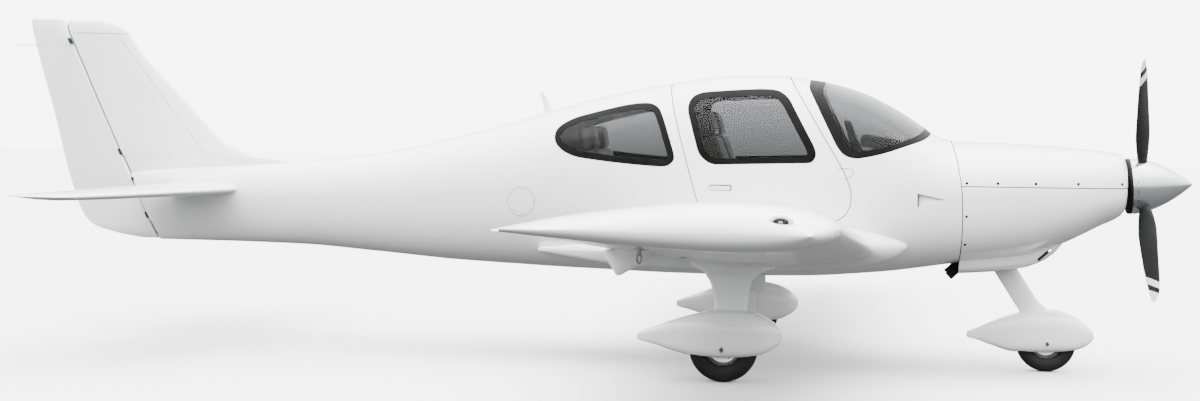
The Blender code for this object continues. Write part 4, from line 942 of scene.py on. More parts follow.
tip_stations = [1.86 + 0.0999 * math.sin(math.pi / 2 * k / 9) for k in range(10)]
tail_rings = [tail_ring(y, fore_and_aft(24)) for y in [0.03, 0.15, 0.5, 1.0, 1.5, 1.8] + tip_stations]
tail_block = hull_solid(spread(-2.99, -1.8, 0.04), 0.004, 96, 1)
for side, label in SIDES:
    tail = loft("tailplane_skin_" + label, sided(tail_rings, side), [paint, cut_wall_shade], None)
    hinge_x = ELEVATOR_HINGE_X + 0.015
    room = side_prism([(-4.0, 0.5), (hinge_x, 0.5), (hinge_x, 1.5), (-4.0, 1.5)], side, 0.0, 1.900, 1)
    middle = side_prism([(-4.0, 0.5), (0.0, 0.5), (0.0, 1.5), (-4.0, 1.5)], side, -1.0, 0.060, 1)
    carve(tail, cutter([room], 2), cutter([tail_block], 2), cutter([middle], 2))
    place(tail, "airframe", "tailplane_" + label, "tailplane_" + label)
    rings = []
    for y in [0.150] + spread(0.3, 1.7, 0.2) + [1.84, 1.890]:
        fore, aft = smooth_columns(TAILPLANE_ROWS, min(y, 1.88))[0]
        chord = fore - aft
        nose = (fore - ELEVATOR_HINGE_X) / chord
        shares = [1.0 + (nose + 0.012 - 1.0) * k / 6 for k in range(7)]
        ring = [Vector((fore - s * chord, y,
                        TAIL_Z + LIFT + half_thick(min(s, 1.0), TAIL_THICKNESS) * chord))
                for s in shares]
        height = ring[-1].z - TAIL_Z - LIFT
        for k in range(1, 8):
            angle = math.pi * k / 8
            ring.append(Vector((ELEVATOR_HINGE_X - 0.012 * chord + 0.014 * math.sin(angle), y,
                                TAIL_Z + LIFT + height * math.cos(angle))))
        ring += [Vector((p.x, p.y, 2 * (TAIL_Z + LIFT) - p.z)) for p in reversed(ring[:7])]
        rings.append(ring)
    elevator = loft("elevator_skin_" + label, sided(rings, side), [paint], 45)
    place(elevator, "elevator", "elevator_" + label, "elevator_" + label)


def rudder_hinge_x(z):
    """Hinge line x at a height of the tables."""
    share = (z - RUDDER_LOW.z) / (RUDDER_HIGH.z - RUDDER_LOW.z)
    return RUDDER_LOW.x + (RUDDER_HIGH.x - RUDDER_LOW.x) * share


# Columns: z, leading edge x, half thickness
FIN_ROWS = [
    (1.000, -1.700, 0.020), (1.180, -1.760, 0.026), (1.2315, -1.979, 0.030), (1.264, -2.272, 0.036),
    (1.311, -2.420, 0.039), (1.380, -2.560, 0.040), (1.440, -2.622, 0.040), (1.720, -2.900, 0.036),
    (2.000, -3.172, 0.030), (2.123, -3.258, 0.026), (2.160, -3.310, 0.022), (2.188, -3.380, 0.015),
    (2.206, -3.450, 0.006),
]
fin_rings = []
for z in spread(1.0, 1.20, 0.05) + spread(1.22, 1.46, 0.012) + spread(1.50, 2.10, 0.06) + spread(2.115,
                                                                                                 2.206,
                                                                                                 0.007):
    fore, half = smooth_columns(FIN_ROWS, z)[0]
    aft = rudder_hinge_x(min(z, 2.15)) + 0.012
    ring = []
    for k in range(17):
        s = 1 - math.cos(math.pi / 2 * k / 16)
        if s < 0.35:
            width = half * min(1.0, 1.02 * math.sqrt(s * 2.0) * (1.4 - 0.5 * s))
        else:
            width = half * (1.0 - 0.16 * (s - 0.35) / 0.65)
        ring.append((fore + (aft - fore) * s, width, z + LIFT))
    fin_rings.append(ring[::-1] + [(x, -y, z) for x, y, z in ring[1:]])
fin = loft("fin_skin", fin_rings, [paint, cut_wall_shade], None)
carve(fin, cutter([hull_solid(spread(-3.0, -1.5, 0.04), 0.003, 96, 1)], 2))
place(fin, "airframe", "fin", "fin")
# Columns: z, trailing edge x, half thickness at the hinge
RUDDER_ROWS = [
    (0.672, -3.150, 0.018), (0.700, -3.330, 0.026), (0.763, -3.530, 0.030), (0.826, -3.588, 0.031),
    (0.933, -3.640, 0.033), (1.600, -3.832, 0.034), (2.109, -3.978, 0.026), (2.170, -3.990, 0.022),
    (2.216, -3.992, 0.010),
]
rudder_rings = []
for z in spread(0.672, 0.93, 0.02) + spread(1.0, 2.1, 0.1) + spread(2.12, 2.212, 0.012):
    aft, half = smooth_columns(RUDDER_ROWS, z)[0]
    fore = rudder_hinge_x(z)
    side_points = [(aft, 0.0022), (aft + 0.6 * (fore - aft), half * 0.62 + 0.001), (fore - 0.006, half)]
    nose_points = [(fore - 0.006 + 0.013 * math.sin(a), half * math.cos(a)) for a in (0.5, 1.0)]
    ring = [(x, y, z + LIFT) for x, y in side_points + nose_points]
    rudder_rings.append(ring + [(fore + 0.007, 0.0, z + LIFT)] + [(x, -y, w) for x, y, w in ring[::-1]])
rudder = loft("rudder_skin", rudder_rings, [paint], 35)
place(rudder, "rudder", "rudder", "rudder")

# Landing gear
LEG_ROWS = [
    (0.690, 0.620, 1.115, 0.280, 0.034), (0.636, 0.665, 1.115, 0.262, 0.032),
    (0.606, 0.688, 1.110, 0.190, 0.030),
    (0.578, 0.712, 1.106, 0.150, 0.028), (0.500, 0.765, 1.112, 0.115, 0.024),
    (0.420, 0.815, 1.119, 0.103, 0.021),
    (0.350, 0.854, 1.118, 0.096, 0.020),
]
# Columns: x, half width, top z, bottom z of the fairing
MAIN_PANT_ROWS = [
    (1.446, 0.012, 0.268, 0.232), (1.430, 0.050, 0.300, 0.202), (1.385, 0.090, 0.338, 0.167),
    (1.300, 0.124, 0.379, 0.130), (1.190, 0.142, 0.398, 0.115), (1.060, 0.140, 0.398, 0.112),
    (0.930, 0.116, 0.373, 0.115), (0.790, 0.074, 0.330, 0.142), (0.670, 0.036, 0.283, 0.176),
    (0.580, 0.012, 0.249, 0.197), (0.561, 0.006, 0.238, 0.206),
]
NOSE_PANT_ROWS = [
    (3.393, 0.010, 0.212, 0.182), (3.375, 0.042, 0.240, 0.158), (3.320, 0.080, 0.292, 0.122),
    (3.235, 0.108, 0.335, 0.097), (3.130, 0.118, 0.361, 0.089), (3.000, 0.114, 0.355, 0.084),
    (2.880, 0.090, 0.326, 0.086), (2.760, 0.056, 0.278, 0.118), (2.660, 0.024, 0.230, 0.151),
    (2.593, 0.006, 0.196, 0.172),
]


def pant_rings(rows, middle_y, depth=0.0):
    """Rings of a wheel fairing: a curve through the table's sizes from tip to tip."""
    table = np.array(sorted(rows))
    middles = (table[:, 2] + table[:, 3]) / 2
    share = np.concatenate([[0], np.cumsum(np.hypot(np.diff(table[:, 0]), np.diff(table[:, 2])))])
    share /= share[-1]
    curve = [(s, x, half, top, bottom) for s, (x, half, top, bottom) in zip(share, table)]
    low = (-0.012, table[0, 0] - 0.001, 0.001, middles[0] + 0.002, middles[0] - 0.002)
    high = (1.012, table[-1, 0] + 0.001, 0.001, middles[-1] + 0.002, middles[-1] - 0.002)
    rings = []
    shares = list(np.linspace(-0.012, 0.03, 7)) + spread(0.045, 0.93,
                                                         0.022) + list(np.linspace(0.945, 1.012, 11))
    if depth:
        shares = spread(0.16, 0.92, 0.022)
    for s in shares:
        x, half, top, bottom = smooth_columns([low] + curve + [high], s)[0]
        middle = (top + bottom) / 2 + 0.02 * (top - bottom)
        wide, up, down = (max(0.0008, v - depth) for v in (half, top - middle, middle - bottom))
        ring = []
        for angle in turns(56):
            c, q = math.cos(angle), math.sin(angle)
            power = 0.72 if q >= 0 else 0.50
            ring.append((x, middle_y + swell(c, power) * wide,
                         middle + swell(q, power) * (up if q > 0 else down) + LIFT))
        rings.append(ring)
    return rings


def pant(name, rows, wheel, hole_half, opening_half, *more):
    """Hollow fairing with a rounded wheel opening below, and what more is cut from it."""
    made = loft(name, pant_rings(rows, wheel.y), [paint, seal, cut_wall_shade], None)
    hollow = marked(loft("hollow", pant_rings(rows, wheel.y, 0.006), [], None), 1)
    corners = ((-1, -1), (1, -1), (1, 1), (-1, 1))
    room = rounded([(wheel.x + a * hole_half, wheel.y + b * opening_half) for a, b in corners], 0.05)
    opening = ring_solid([[(x, y, z) for x, y in room] for z in (-0.1, 0.20)], 2)
    carve(made, hollow, cutter([opening]), *more)
    return made


def axle_hole(wheel, half, tall):
    """Diamond outline round a wheel's axis."""
    corners = ((-half, 0), (0, -tall), (half, 0), (0, tall))
    return rounded([(wheel.x + x, wheel.z + z) for x, z in corners], 0.006, 3)


def leg_section(z, side, grow=0.0):
    """Ring of a main leg at a height of the tables."""
    y, middle, half, thick = smooth_columns(LEG_ROWS, z)[0]
    ring = []
    for t in turns(40):
        lean = math.sin(t) * (1 - 0.22 * math.cos(t)) * (thick + grow)
        ring.append((middle + math.cos(t) * (half + grow), (y + lean * 0.824) * side,
                     z + lean * 0.567 + LIFT))
    return ring


def tyre_profile(radius, half, rim):
    """Section of a tyre with ribs in its tread and a bead at the rim."""
    shoulder = radius - 0.026
    profile = [(-half * 0.62, rim - 0.004), (-half * 0.80, rim + 0.002), (-half * 0.93, rim + 0.016),
               (-half, rim + 0.040), (-half * 0.985, shoulder - 0.018), (-half * 0.93, shoulder),
               (-half * 0.80, radius - 0.012), (-half * 0.62, radius - 0.0035)]
    for middle in (-0.38, 0.0, 0.38):
        for offset, depth in ((-0.07, 0.0), (-0.045, 0.005), (0.045, 0.005), (0.07, 0.0)):
            across = middle + offset
            profile.append((across * half, radius - 0.0035 * abs(across / 0.62) ** 2 - depth))
    profile += [(-along, radius) for along, radius in profile[7::-1]]
    return profile


def wheel_pieces(label, centre, radius, half, rim, side, node):
    """Tyre, rim, bolts and brake disc of one wheel, whose body and node share a name."""
    tyre = lathe("tyre_" + label, tyre_profile(radius, half, rim), [rubber], 96)
    dish = [(0.52, rim + 0.001), (0.70, rim + 0.004), (0.76, rim - 0.002), (0.66, rim - 0.010),
            (0.30, rim - 0.018),
            (0.22, rim * 0.55), (0.34, rim * 0.42), (0.52, rim * 0.38), (0.54, 0.022), (0.50, 0.0)]
    profile = [(along * half, size) for along, size in dish]
    hub = lathe("rim_" + label, profile + [(-along, size) for along, size in profile[::-1]], [alloy])
    bolts = []
    for angle in turns(6):
        y, z = rim * 0.66 * math.cos(angle), rim * 0.66 * math.sin(angle)
        for end in (-1, 1):
            x = end * half * 0.27
            bolts.append(rod("bolt", steel, (x, y, z), (x + end * 0.010, y, z), 0.0055, 6))
            bolts[-1].data.shade_flat()
    brake = ((0.34, 0.42), (0.34, 0.90), (0.42, 0.90), (0.42, 0.42), (0.34, 0.42))
    disc = lathe("disc", [(half * along, rim * size) for along, size in brake], [steel], 64)
    disc.data.transform(Matrix.Translation((-side * half * 1.1 if side else half * 0.1, 0, 0)))
    for made in (tyre, joined("rim_" + label, [hub] + bolts + [disc])):
        made.data.transform(Matrix.Translation(centre) @ Matrix.Rotation(math.pi / 2, 4, "Z"))
        place(made, node, node)
    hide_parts(node)


for side, label in SIDES:
    centre = Vector((MAIN_WHEEL.x, MAIN_WHEEL.y * side, MAIN_WHEEL.z + LIFT))
    wheel_pieces("main_" + label, centre, MAIN_WHEEL_RADIUS, 0.075, 0.108, side, "main_wheel_" + label)
    rings = [leg_section(z, side) for z in spread(0.350, 0.560, 0.03) + spread(0.572, 0.690, 0.0085)]
    leg = loft("leg_skin_" + label, rings, [paint], 50)
    low, high = sorted((0.840 * side, 0.866 * side))
    plate = soft_box("plate", (1.040, low, 0.165), (1.150, high, 0.425), 0.004, paint)
    axle = rod("axle", steel, (centre.x, 0.850 * side, centre.z), (centre.x, 1.083 * side, centre.z),
               0.015, 32)
    axle.data.set_sharp_from_angle(angle=0.6)
    cuff_rings = [leg_section(z, side, grow)
                  for z, grow in ((0.586, 0.0006), (0.578, 0.0030), (0.566, 0.0030), (0.560, 0.0004))]
    cuff = loft("cuff", cuff_rings, [paint], 30, ends=False)
    leg = joined("leg_skin_" + label, [leg, cuff])
    under = joined("axle_" + label, [axle, plate])
    place(leg, "airframe", "main_leg_" + label, "main_leg_" + label)
    place(under, "airframe", "main_leg_" + label)
    hole = cutter([side_prism(axle_hole(MAIN_WHEEL, 0.017, 0.022), side, 1.10, 1.20)])
    middle = Vector((MAIN_WHEEL.x, MAIN_WHEEL.y * side, 0))
    made = pant("fairing_skin_" + label, MAIN_PANT_ROWS, middle, 0.212, 0.090, hole)
    place(made, "airframe", "main_fairing_" + label, "main_fairing_" + label)

wheel_pieces("nose", NOSE_WHEEL + Vector((0, 0, LIFT)), NOSE_WHEEL_RADIUS, 0.062, 0.100, 0, "nose_wheel")


def leg_ring(along, grow=0.0):
    """Streamlined ring of the nose leg at a distance up its steering axis."""
    middle = leg_base + leg_up * along
    ring = []
    for angle in turns(40):
        a = math.cos(angle) * 0.5
        thick = 0.5 * math.sin(angle) * (1.0 + 0.30 * math.cos(angle))
        ring.append(tuple(middle + leg_ahead * a * (0.134 + grow) + Vector((0, thick * (0.052 + grow), 0))))
    return ring


flare = [leg_ring(s, 0.040 * max(0.0, 1.0 - (s + 0.050) / 0.085) ** 2) for s in spread(-0.050, 0.035,
                                                                                       0.0085)]
nose_leg = loft("nose_leg_skin", flare + [leg_ring(s) for s in spread(0.06, 0.340, 0.04)], [paint], 40)
strut = rod("strut", alloy, leg_base + leg_up * 0.30, leg_base + leg_up * 0.540, 0.030, 40)
strut.data.set_sharp_from_angle(angle=0.6)
nose_leg = joined("nose_leg_skin", [nose_leg, strut])
place(nose_leg, "nose_gear", "nose_leg", "nose_leg")
slot_rings = [leg_ring(s, 0.0012) for s in spread(-0.06, 0.20, 0.05)]
cuts = [marked(loft("slot_cut", slot_rings, [], None), 2)]
cuts += [cutter([side_prism(axle_hole(NOSE_WHEEL, 0.015, 0.019), side, 0.09, 0.20)]) for side in (-1, 1)]
made = pant("fairing_skin_nose", NOSE_PANT_ROWS, Vector((NOSE_WHEEL.x, 0, 0)), 0.190, 0.080, *cuts)
place(made, "nose_gear", "nose_fairing", "nose_fairing")
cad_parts["nose_fork"].data.materials[0] = steel
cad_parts["engine_block"].data.materials[0] = cast
for label in ("left", "right"):
    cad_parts["exhaust_" + label].data.materials[0] = soot_and_shade


# Propeller: backplate, blades with banded tips and a polished spinner
thrust_turn = Matrix.Translation(HUB) @ Matrix.Rotation(-THRUST_TILT, 4, "Y")
plate = lathe("backplate", [
    (0.100, 0.0), (0.100, 0.062), (0.002, 0.062), (0.001, SPINNER_RADIUS - 0.002), (-0.003, SPINNER_RADIUS),
    (-0.013, SPINNER_RADIUS), (-0.030, SPINNER_RADIUS), (-0.034, SPINNER_RADIUS - 0.004), (-0.034, 0.060),
    (-0.046, 0.058), (-0.046, 0.0)], [seal, polished], 96)
for face in plate.data.polygons:
    face.material_index = int(-0.013 < face.center.x < 0.002)
plate.data.transform(thrust_turn)
place(plate, "propeller", "propeller", "propeller")
profile = []
for share in [0.0, 0.004, 0.012] + spread(0.03, 0.94, 0.03) + [0.96, 0.975, 0.988, 0.996, 1.0]:
    radius = (SPINNER_RADIUS - 0.0008) * (1.0 - share ** 1.8)
    profile.append((SPINNER_LENGTH * share, max(0.0, radius)))
profile = [(0.0, SPINNER_RADIUS - 0.007)] + profile
spinner = lathe("spinner_shell", profile, [polished], 144)
screws = []
for k in range(18):
    angle = 2 * math.pi * (k + 0.5) / 18
    radius = SPINNER_RADIUS * (1.0 - 0.045 ** 1.8) - 0.0012
    spot = Vector((0.017, radius * math.cos(angle), radius * math.sin(angle)))
    out = Vector((0.06, math.cos(angle), math.sin(angle))).normalized()
    screws.append(rod("screw", screw_metal, spot, spot + out * 0.0022, 0.0042, 12))
spinner = joined("spinner_shell", [spinner] + screws)
spinner.data.transform(thrust_turn)
place(spinner, "propeller", "spinner", "spinner")

blade_stations = [0.045, 0.08, 0.11, 0.14] + spread(0.16, 0.66, 0.025)
blade_stations += [0.680, 0.700, 0.7123, 0.7127, 0.735, 0.7598, 0.7602, 0.780, 0.7978, 0.7982, 0.810,
                   0.822, 0.835,
                   0.848, 0.857, 0.862, 0.8645]
BAND_SLANTS = (0.5, 1.6, 1.2)
for number, (angle, slant) in enumerate(zip(BLADE_ANGLES, BAND_SLANTS), 1):
    rings = []
    for radius in blade_stations:
        chord, thick, twist, sweep = smooth_columns(BLADE_ROWS, radius)[0]
        if radius > 0.835:
            chord *= math.sqrt(max(0.02, 1 - ((radius - 0.835) / 0.030) ** 2)) * 0.55 + 0.45
        turn = math.radians(twist)
        roundness = max(0.0, min(1.0, (0.24 - radius) / 0.10))
        ring = []
        for t in turns(36):
            across, up = 0.5 * math.cos(t), 0.5 * math.sin(t) * (1 - (1 - roundness) * 0.35 * math.cos(t))
            if up < 0:
                up *= roundness + (1 - roundness) * 0.55
            across, up = across * chord, up * thick
            fore = up * math.cos(turn) + across * math.sin(turn)
            ramp = max(0.0, min(1.0, (radius - 0.60) / 0.10, (0.8645 - radius) / 0.066))
            ring.append((fore + BLADE_OFFSET - BLADE_RAKE * radius,
                         across * math.cos(turn) - up * math.sin(turn) + sweep,
                         radius + slant * ramp * fore))
        rings.append(ring)
    blade = loft("blade_%d" % number, rings, [blade_black, blade_white], 60)
    for face in blade.data.polygons:
        radius = blade_stations[min(face.index // 36, len(blade_stations) - 2)]
        face.material_index = int(0.7125 < radius < 0.7599 or radius > 0.7980)
    collar = lathe("blade_collar_%d" % number,
                   [(0.096, 0.030), (0.096, 0.046), (0.118, 0.044), (0.136, 0.040), (0.142, 0.030)],
                   [seal], 40)
    collar.data.transform(Matrix.Translation((BLADE_OFFSET - 0.004, 0, 0)) @ Matrix.Rotation(-math.pi / 2,
                                                                                             4, "Y"))
    blade = joined("blade_%d" % number, [blade, collar])
    blade.data.transform(thrust_turn @ Matrix.Rotation(math.radians(angle), 4, "X"))
    place(blade, "propeller", "propeller")


# Cabin inside
def cushion(name, half, crown, material, seams=(), groove=0.005, radius=0.032, steps=30):
    """Crowned pad in its own axes: x across, y along and z thick, with sewn channels across it."""
    a, b, c = half
    points, faces = [], []
    for axis in range(3):
        for sign in (-1.0, 1.0):
            start = len(points)
            for i in range(steps + 1):
                for j in range(steps + 1):
                    u, v = -1 + 2 * i / steps, -1 + 2 * j / steps
                    u, v = math.sin(u * 1.2) / math.sin(1.2), math.sin(v * 1.2) / math.sin(1.2)
                    corner = [u, v]
                    corner.insert(axis, sign)
                    points.append([corner[k] * half[k] for k in range(3)])
            for i in range(steps):
                for j in range(steps):
                    base = start + i * (steps + 1) + j
                    faces.append((base, base + 1, base + steps + 2, base + steps + 1))
    points = np.array(points)
    core = np.array(half) - radius
    held = np.clip(points, -core, core)
    away = points - held
    length = np.linalg.norm(away, axis=1, keepdims=True)
    points = held + away / np.maximum(length, 1e-6) * radius
    across, along, thick = points[:, 0] / a, points[:, 1] / b, points[:, 2] / c
    middle = (1 - across ** 2).clip(0) * (1 - along ** 2).clip(0)
    points[:, 2] += np.sign(thick) * crown * middle * np.abs(thick)
    points[:, 0] *= 1 - 0.030 * (1 - along ** 2).clip(0)
    points[:, 1] *= 1 - 0.018 * (1 - across ** 2).clip(0)
    for seam in seams:
        dent = np.exp(-((points[:, 1] - seam * b) / 0.008) ** 2)
        points[:, 2] -= np.sign(thick) * groove * dent * (np.abs(thick) > 0.6)
    made = new_piece(name, points, faces, [material])
    return tidy_normals(made)


def perimeter(a, b, level):
    """Rounded rectangle round a pad at one level, for its piping."""
    outline = rounded([(-a, -b), (a, -b), (a, b), (-a, b)], 0.045, 6)
    return [(x * (1 - 0.030 * max(0, 1 - (y / b) ** 2)), y * (1 - 0.018 * max(0, 1 - (x / a) ** 2)), level)
            for x, y in outline]


def leaning(middle, along):
    """Matrix that sets a pad across the cabin with its length along a direction in the x, z plane."""
    length = Vector((along[0], 0, along[1])).normalized()
    face = Vector((length.z, 0, -length.x))
    turn = Matrix((Vector((0, 1, 0)), length, face)).transposed().to_4x4()
    return Matrix.Translation(Vector(middle) + Vector((0, 0, LIFT))) @ turn


def pad(name, node, half, crown, middle, along, seams=()):
    """Piped cushion set in the cabin with its length along a direction in the x, z plane."""
    made = cushion(name, half, crown, leather, seams)
    cord = tube("piping", perimeter(half[0] - 0.004, half[1] - 0.004, half[2] * 0.66), 0.0035, piping, True)
    made = joined(name, [made, cord])
    made.data.transform(leaning(middle, along))
    place(made, "airframe", node)
    return made


for side, label in SIDES:
    y = 0.235 * side
    node = "front_seat_" + label
    bottom = pad("seat_cushion_" + label, node, (0.198, 0.215, 0.062), 0.020, (1.150, y, 0.925),
                 (0.995, 0.10),
                 (-0.35, 0.35))
    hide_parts(node)
    pad("seat_back_" + label, node, (0.200, 0.265, 0.070), 0.018, (0.985, y, 1.195), (-0.33, 0.944),
        (-0.45, 0.0, 0.45))
    pad("headrest_" + label, node, (0.155, 0.088, 0.062), 0.014, (0.878, y, 1.522), (-0.30, 0.954))
    shell = soft_box("seat_shell_" + label, (-0.205, -0.30, -0.014), (0.205, 0.31, 0.014), 0.012, trim)
    shell.data.transform(leaning((0.880, y, 1.190), (-0.25, 0.97)))
    base = soft_box("base", (0.960, y - 0.165, 0.7303), (1.320, y + 0.165, 0.905), 0.02, trim)
    rails = [soft_box("rail", (0.920, y + e * 0.12 - 0.012, 0.7303), (1.370, y + e * 0.12 + 0.012, 0.752),
                      0.003, steel)
             for e in (-1, 1)]
    frame_piece = joined("seat_shell_" + label, [shell, base] + rails)
    place(frame_piece, "airframe", node)
bench = pad("bench_cushion", "rear_seat", (0.345, 0.205, 0.060), 0.020, (0.400, 0.0, 0.905), (0.995, 0.09),
            (-0.35, 0.35))
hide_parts("rear_seat")
pad("bench_back", "rear_seat", (0.345, 0.225, 0.056), 0.018, (0.170, 0.0, 1.130), (-0.22, 0.97),
    (-0.4, 0.1, 0.6))
for side, label in SIDES:
    pad("bench_headrest_" + label, "rear_seat", (0.110, 0.080, 0.045), 0.012, (0.105, 0.2 * side, 1.430),
        (-0.16, 0.98), (0.0,))
bench_base = soft_box("bench_base", (0.150, -0.330, 0.7303), (0.590, 0.330, 0.890), 0.02, trim)
place(bench_base, "airframe", "rear_seat")


def bulkhead(name, x, material):
    """Thin wall across the body."""
    rings = [hull_ring(x + dx, 0.027, 96) for dx in (-0.006, 0.006)]
    place(loft(name, rings, [material]), "airframe", "cabin_shell")


bulkhead("rear_bulkhead", -0.300, lining)
bulkhead("firewall", 2.480, panel_black)
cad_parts["cabin_floor"].data.materials[0] = carpet
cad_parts["centre_console"].data.materials[0] = trim
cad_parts["instrument_panel"].data.materials[0] = panel_black
hood = soft_box("hood", (1.858, -0.560, 1.358 + LIFT), (1.960, 0.560, 1.376 + LIFT), 0.008, trim,
                taper=lambda p: Vector((p.x + 0.05 * (p.y / 0.56) ** 2, p.y, p.z)))
fascia = soft_box("fascia", (1.888, -0.548, 1.100), (1.8995, 0.548, 1.385), 0.004, panel_black)
details = [hood, fascia]
knob_rows = [(1.883, y, z) for z in (1.120, 1.150) for y in (-0.09, -0.045, 0.0, 0.045, 0.09)]
knob_rows += [(1.883, y, 1.118) for y in (-0.45, -0.41, -0.37, -0.33, 0.33, 0.37, 0.41, 0.45)]
for x, y, z in knob_rows:
    details.append(rod("knob", seal, (x + 0.006, y, z), (x - 0.012, y, z), 0.0085, 24, 0.007))
    details[-1].data.set_sharp_from_angle(angle=0.6)
place(joined("panel_trim", details), "airframe", "instrument_panel")

# Glareshield over the panel with the raised hood of the centre instruments
shield_rings = []
for share in (0.0, 0.03, 0.10, 0.3, 0.5, 0.7, 0.9, 0.97, 1.0):
    x, top = 1.885 + 0.310 * share, 1.487 - 0.052 * share
    wide = hull_y(x, top) - 0.055
    thick = 0.030 * math.sqrt(max(0.02, 1 - (2 * share - 1) ** 8))
    ring = []
    for angle in turns(48):
        c, s = math.cos(angle), math.sin(angle)
        droop = 0.050 * abs(c) ** 3
        ring.append((x, swell(c, 0.6) * wide, top - 0.030 - droop + s * thick + LIFT))
    shield_rings.append(ring)
place(loft("glareshield", shield_rings, [shield_cloth], 50), "airframe", "instrument_panel")
centre_hood = soft_box("centre_hood", (-0.034, -0.150, 0.0), (0.034, 0.150, 0.232), 0.018, shield_cloth, 5,
                       lambda p: Vector((p.x * (1.0 - 1.4 * p.z) + 1.872 - 0.343 * p.z,
                                         p.y * (1.0 - 1.2 * p.z), p.z + 1.337 + LIFT)))
place(centre_hood, "airframe", "instrument_panel")
for number, low_y, high_y in ((1, -0.500, -0.240), (2, -0.215, 0.100), (4, 0.240, 0.500)):
    bezel = soft_box("bezel_%d" % number, (1.8800, low_y, 1.170), (1.8878, high_y, 1.360), 0.003, seal)
    glassy = soft_box("screen_%d" % number, (1.8786, low_y + 0.012, 1.184), (1.8800, high_y - 0.012, 1.346),
                      0.0005, screen)
    place(bezel, "airframe", "instrument_panel")
    place(glassy, "airframe", "instrument_panel")
sticks = []
for side, label in SIDES:
    y = 0.300 * side
    sticks.append(tube("stick", [(1.895, y, 1.160), (1.840, y, 1.165), (1.800, y, 1.185),
                                 (1.790, y, 1.230)], 0.010, steel))
    grip = cushion("grip", (0.017, 0.052, 0.021), 0.002, seal, (-0.4, 0.0, 0.4), groove=0.002,
                   radius=0.014, steps=16)
    grip.data.transform(Matrix.Translation((1.788, y, 1.270)) @ Matrix.Rotation(math.radians(80), 4, "X"))
    sticks.append(grip)
place(joined("control_sticks", sticks), "airframe", "instrument_panel")
lever_parts = [tube("lever", [(1.800, 0.0, 1.055), (1.790, 0.0, 1.100), (1.785, 0.0, 1.125)], 0.006, steel),
               soft_box("lever_grip", (1.768, -0.022, 1.120), (1.802, 0.022, 1.152), 0.010, seal),
               soft_box("lever_slot", (1.740, -0.018, 1.0602), (1.850, 0.018, 1.0640), 0.0015, panel_black)]
place(joined("power_lever", lever_parts), "airframe", "centre_console")
armrest = cushion("console_armrest", (0.070, 0.095, 0.020), 0.006, leather, (), radius=0.014, steps=18)
armrest.data.transform(Matrix.Translation((1.585, 0.0, 1.082)) @ Matrix.Rotation(math.pi / 2, 4, "Z"))
place(armrest, "airframe", "centre_console")
pedals = []
for side in (-1, 1):
    for shift in (-0.075, 0.075):
        y = 0.290 * side + shift
        pedals.append(soft_box("pedal", (2.120, y - 0.036, 0.800), (2.136, y + 0.036, 0.900), 0.005, steel,
                               taper=lambda p: Vector((p.x + 0.35 * (p.z - 0.80), p.y, p.z))))
        pedals.append(tube("pedal_arm", [(2.150, y, 0.850), (2.210, y, 0.900), (2.240, y, 1.060)], 0.008,
                           steel))
place(joined("rudder_pedals", pedals), "airframe", "cabin_floor")
for side, label in SIDES:
    low, high = sorted((0.560 * side, 0.604 * side))
    rest = soft_box("door_armrest_" + label, (1.050, low, 1.165), (1.600, high, 1.205), 0.014, leather,
                    taper=lambda p, s=side: Vector((p.x, s * (abs(p.y) - 0.012 * ((p.x - 1.3) / 0.3) ** 2),
                                                    p.z)))
    place(rest, "door_" + label, "door_" + label)
    handle = tube("pull", [(1.62, 0.600 * side, 1.255), (1.62, 0.572 * side, 1.262),
                           (1.54, 0.568 * side, 1.262),
                           (1.54, 0.598 * side, 1.255)], 0.006, alloy)
    place(handle, "door_" + label, "door_" + label)
    handle.name = "door_pull_" + label


# Lines, screws and small fittings on the skins
def seen_on(skin, x, z, side):
    """Point and normal of a remembered skin at x and a height of the tables, seen from one side."""
    return skin.tree.ray_cast(Vector((x, 3.0 * side, z + LIFT)), Vector((0, -side, 0)))[:2]


def on_skin(skin, x, z, side, out=0.0):
    """Point of a remembered skin, or none where the ray misses it."""
    spot = seen_on(skin, x, z, side)[0]
    return spot + Vector((0, side * out, 0)) if spot else None


def skin_line(name, skin, points, side, radius, closed=False, gap=0.015):
    """Thin dark line that follows a skin through x, z points, used for seams and, at the vent, for painted
    shade along its edges.
    """
    dense = []
    pairs = list(zip(points, points[1:] + points[:1])) if closed else list(zip(points, points[1:]))
    for (x0, z0), (x1, z1) in pairs:
        count = max(1, int(math.hypot(x1 - x0, z1 - z0) / gap))
        dense += [(x0 + (x1 - x0) * k / count, z0 + (z1 - z0) * k / count) for k in range(count)]
    if not closed:
        dense.append(points[-1])
    spots = [on_skin(skin, x, z, side, -radius * 0.70) for x, z in dense]
    return tube(name, [s for s in spots if s], radius, dark_line, closed, 1)


def edge_strip(name, rows, side, thick=0.0012):
    """Flat dark strip on one side, painted shade over a gap; each row gives its aft x, fore x, y and z."""
    points = []
    for aft, fore, y, z in rows:
        points += [(aft, y, z), (fore, y, z), (fore, y + thick * side, z), (aft, y + thick * side, z)]
    faces = [(0, 1, 2, 3), tuple(len(points) - k for k in (1, 2, 3, 4))]
    for start in range(0, len(points) - 4, 4):
        for k in range(4):
            faces.append((start + k, start + 4 + k, start + 4 + (k + 1) % 4, start + (k + 1) % 4))
    return new_piece(name, points, faces, [dark_line])


def screw_heads(skin, points, side, radius):
    """Slightly domed screw heads on a skin, each with a small dark disc that is painted shade in its socket.
    """
    heads = []
    for x, z in points:
        spot, normal = seen_on(skin, x, z, side)
        if spot is None:
            continue
        if normal.y * side < 0:
            normal = -normal
        heads.append(rod("head", screw_metal, spot - normal * 0.002, spot + normal * 0.0016, radius, 20,
                         radius * 0.85))
        # Small dark disc: painted shade in the screw's socket.
        heads.append(rod("socket", dark_line, spot + normal * 0.0010, spot + normal * 0.0019,
                         radius * 0.35, 6))
    return heads


def circle(x, z, radius):
    """Points of a circle in the x, z plane."""
    return [(x + radius * math.cos(t), z + radius * math.sin(t)) for t in turns(40)]


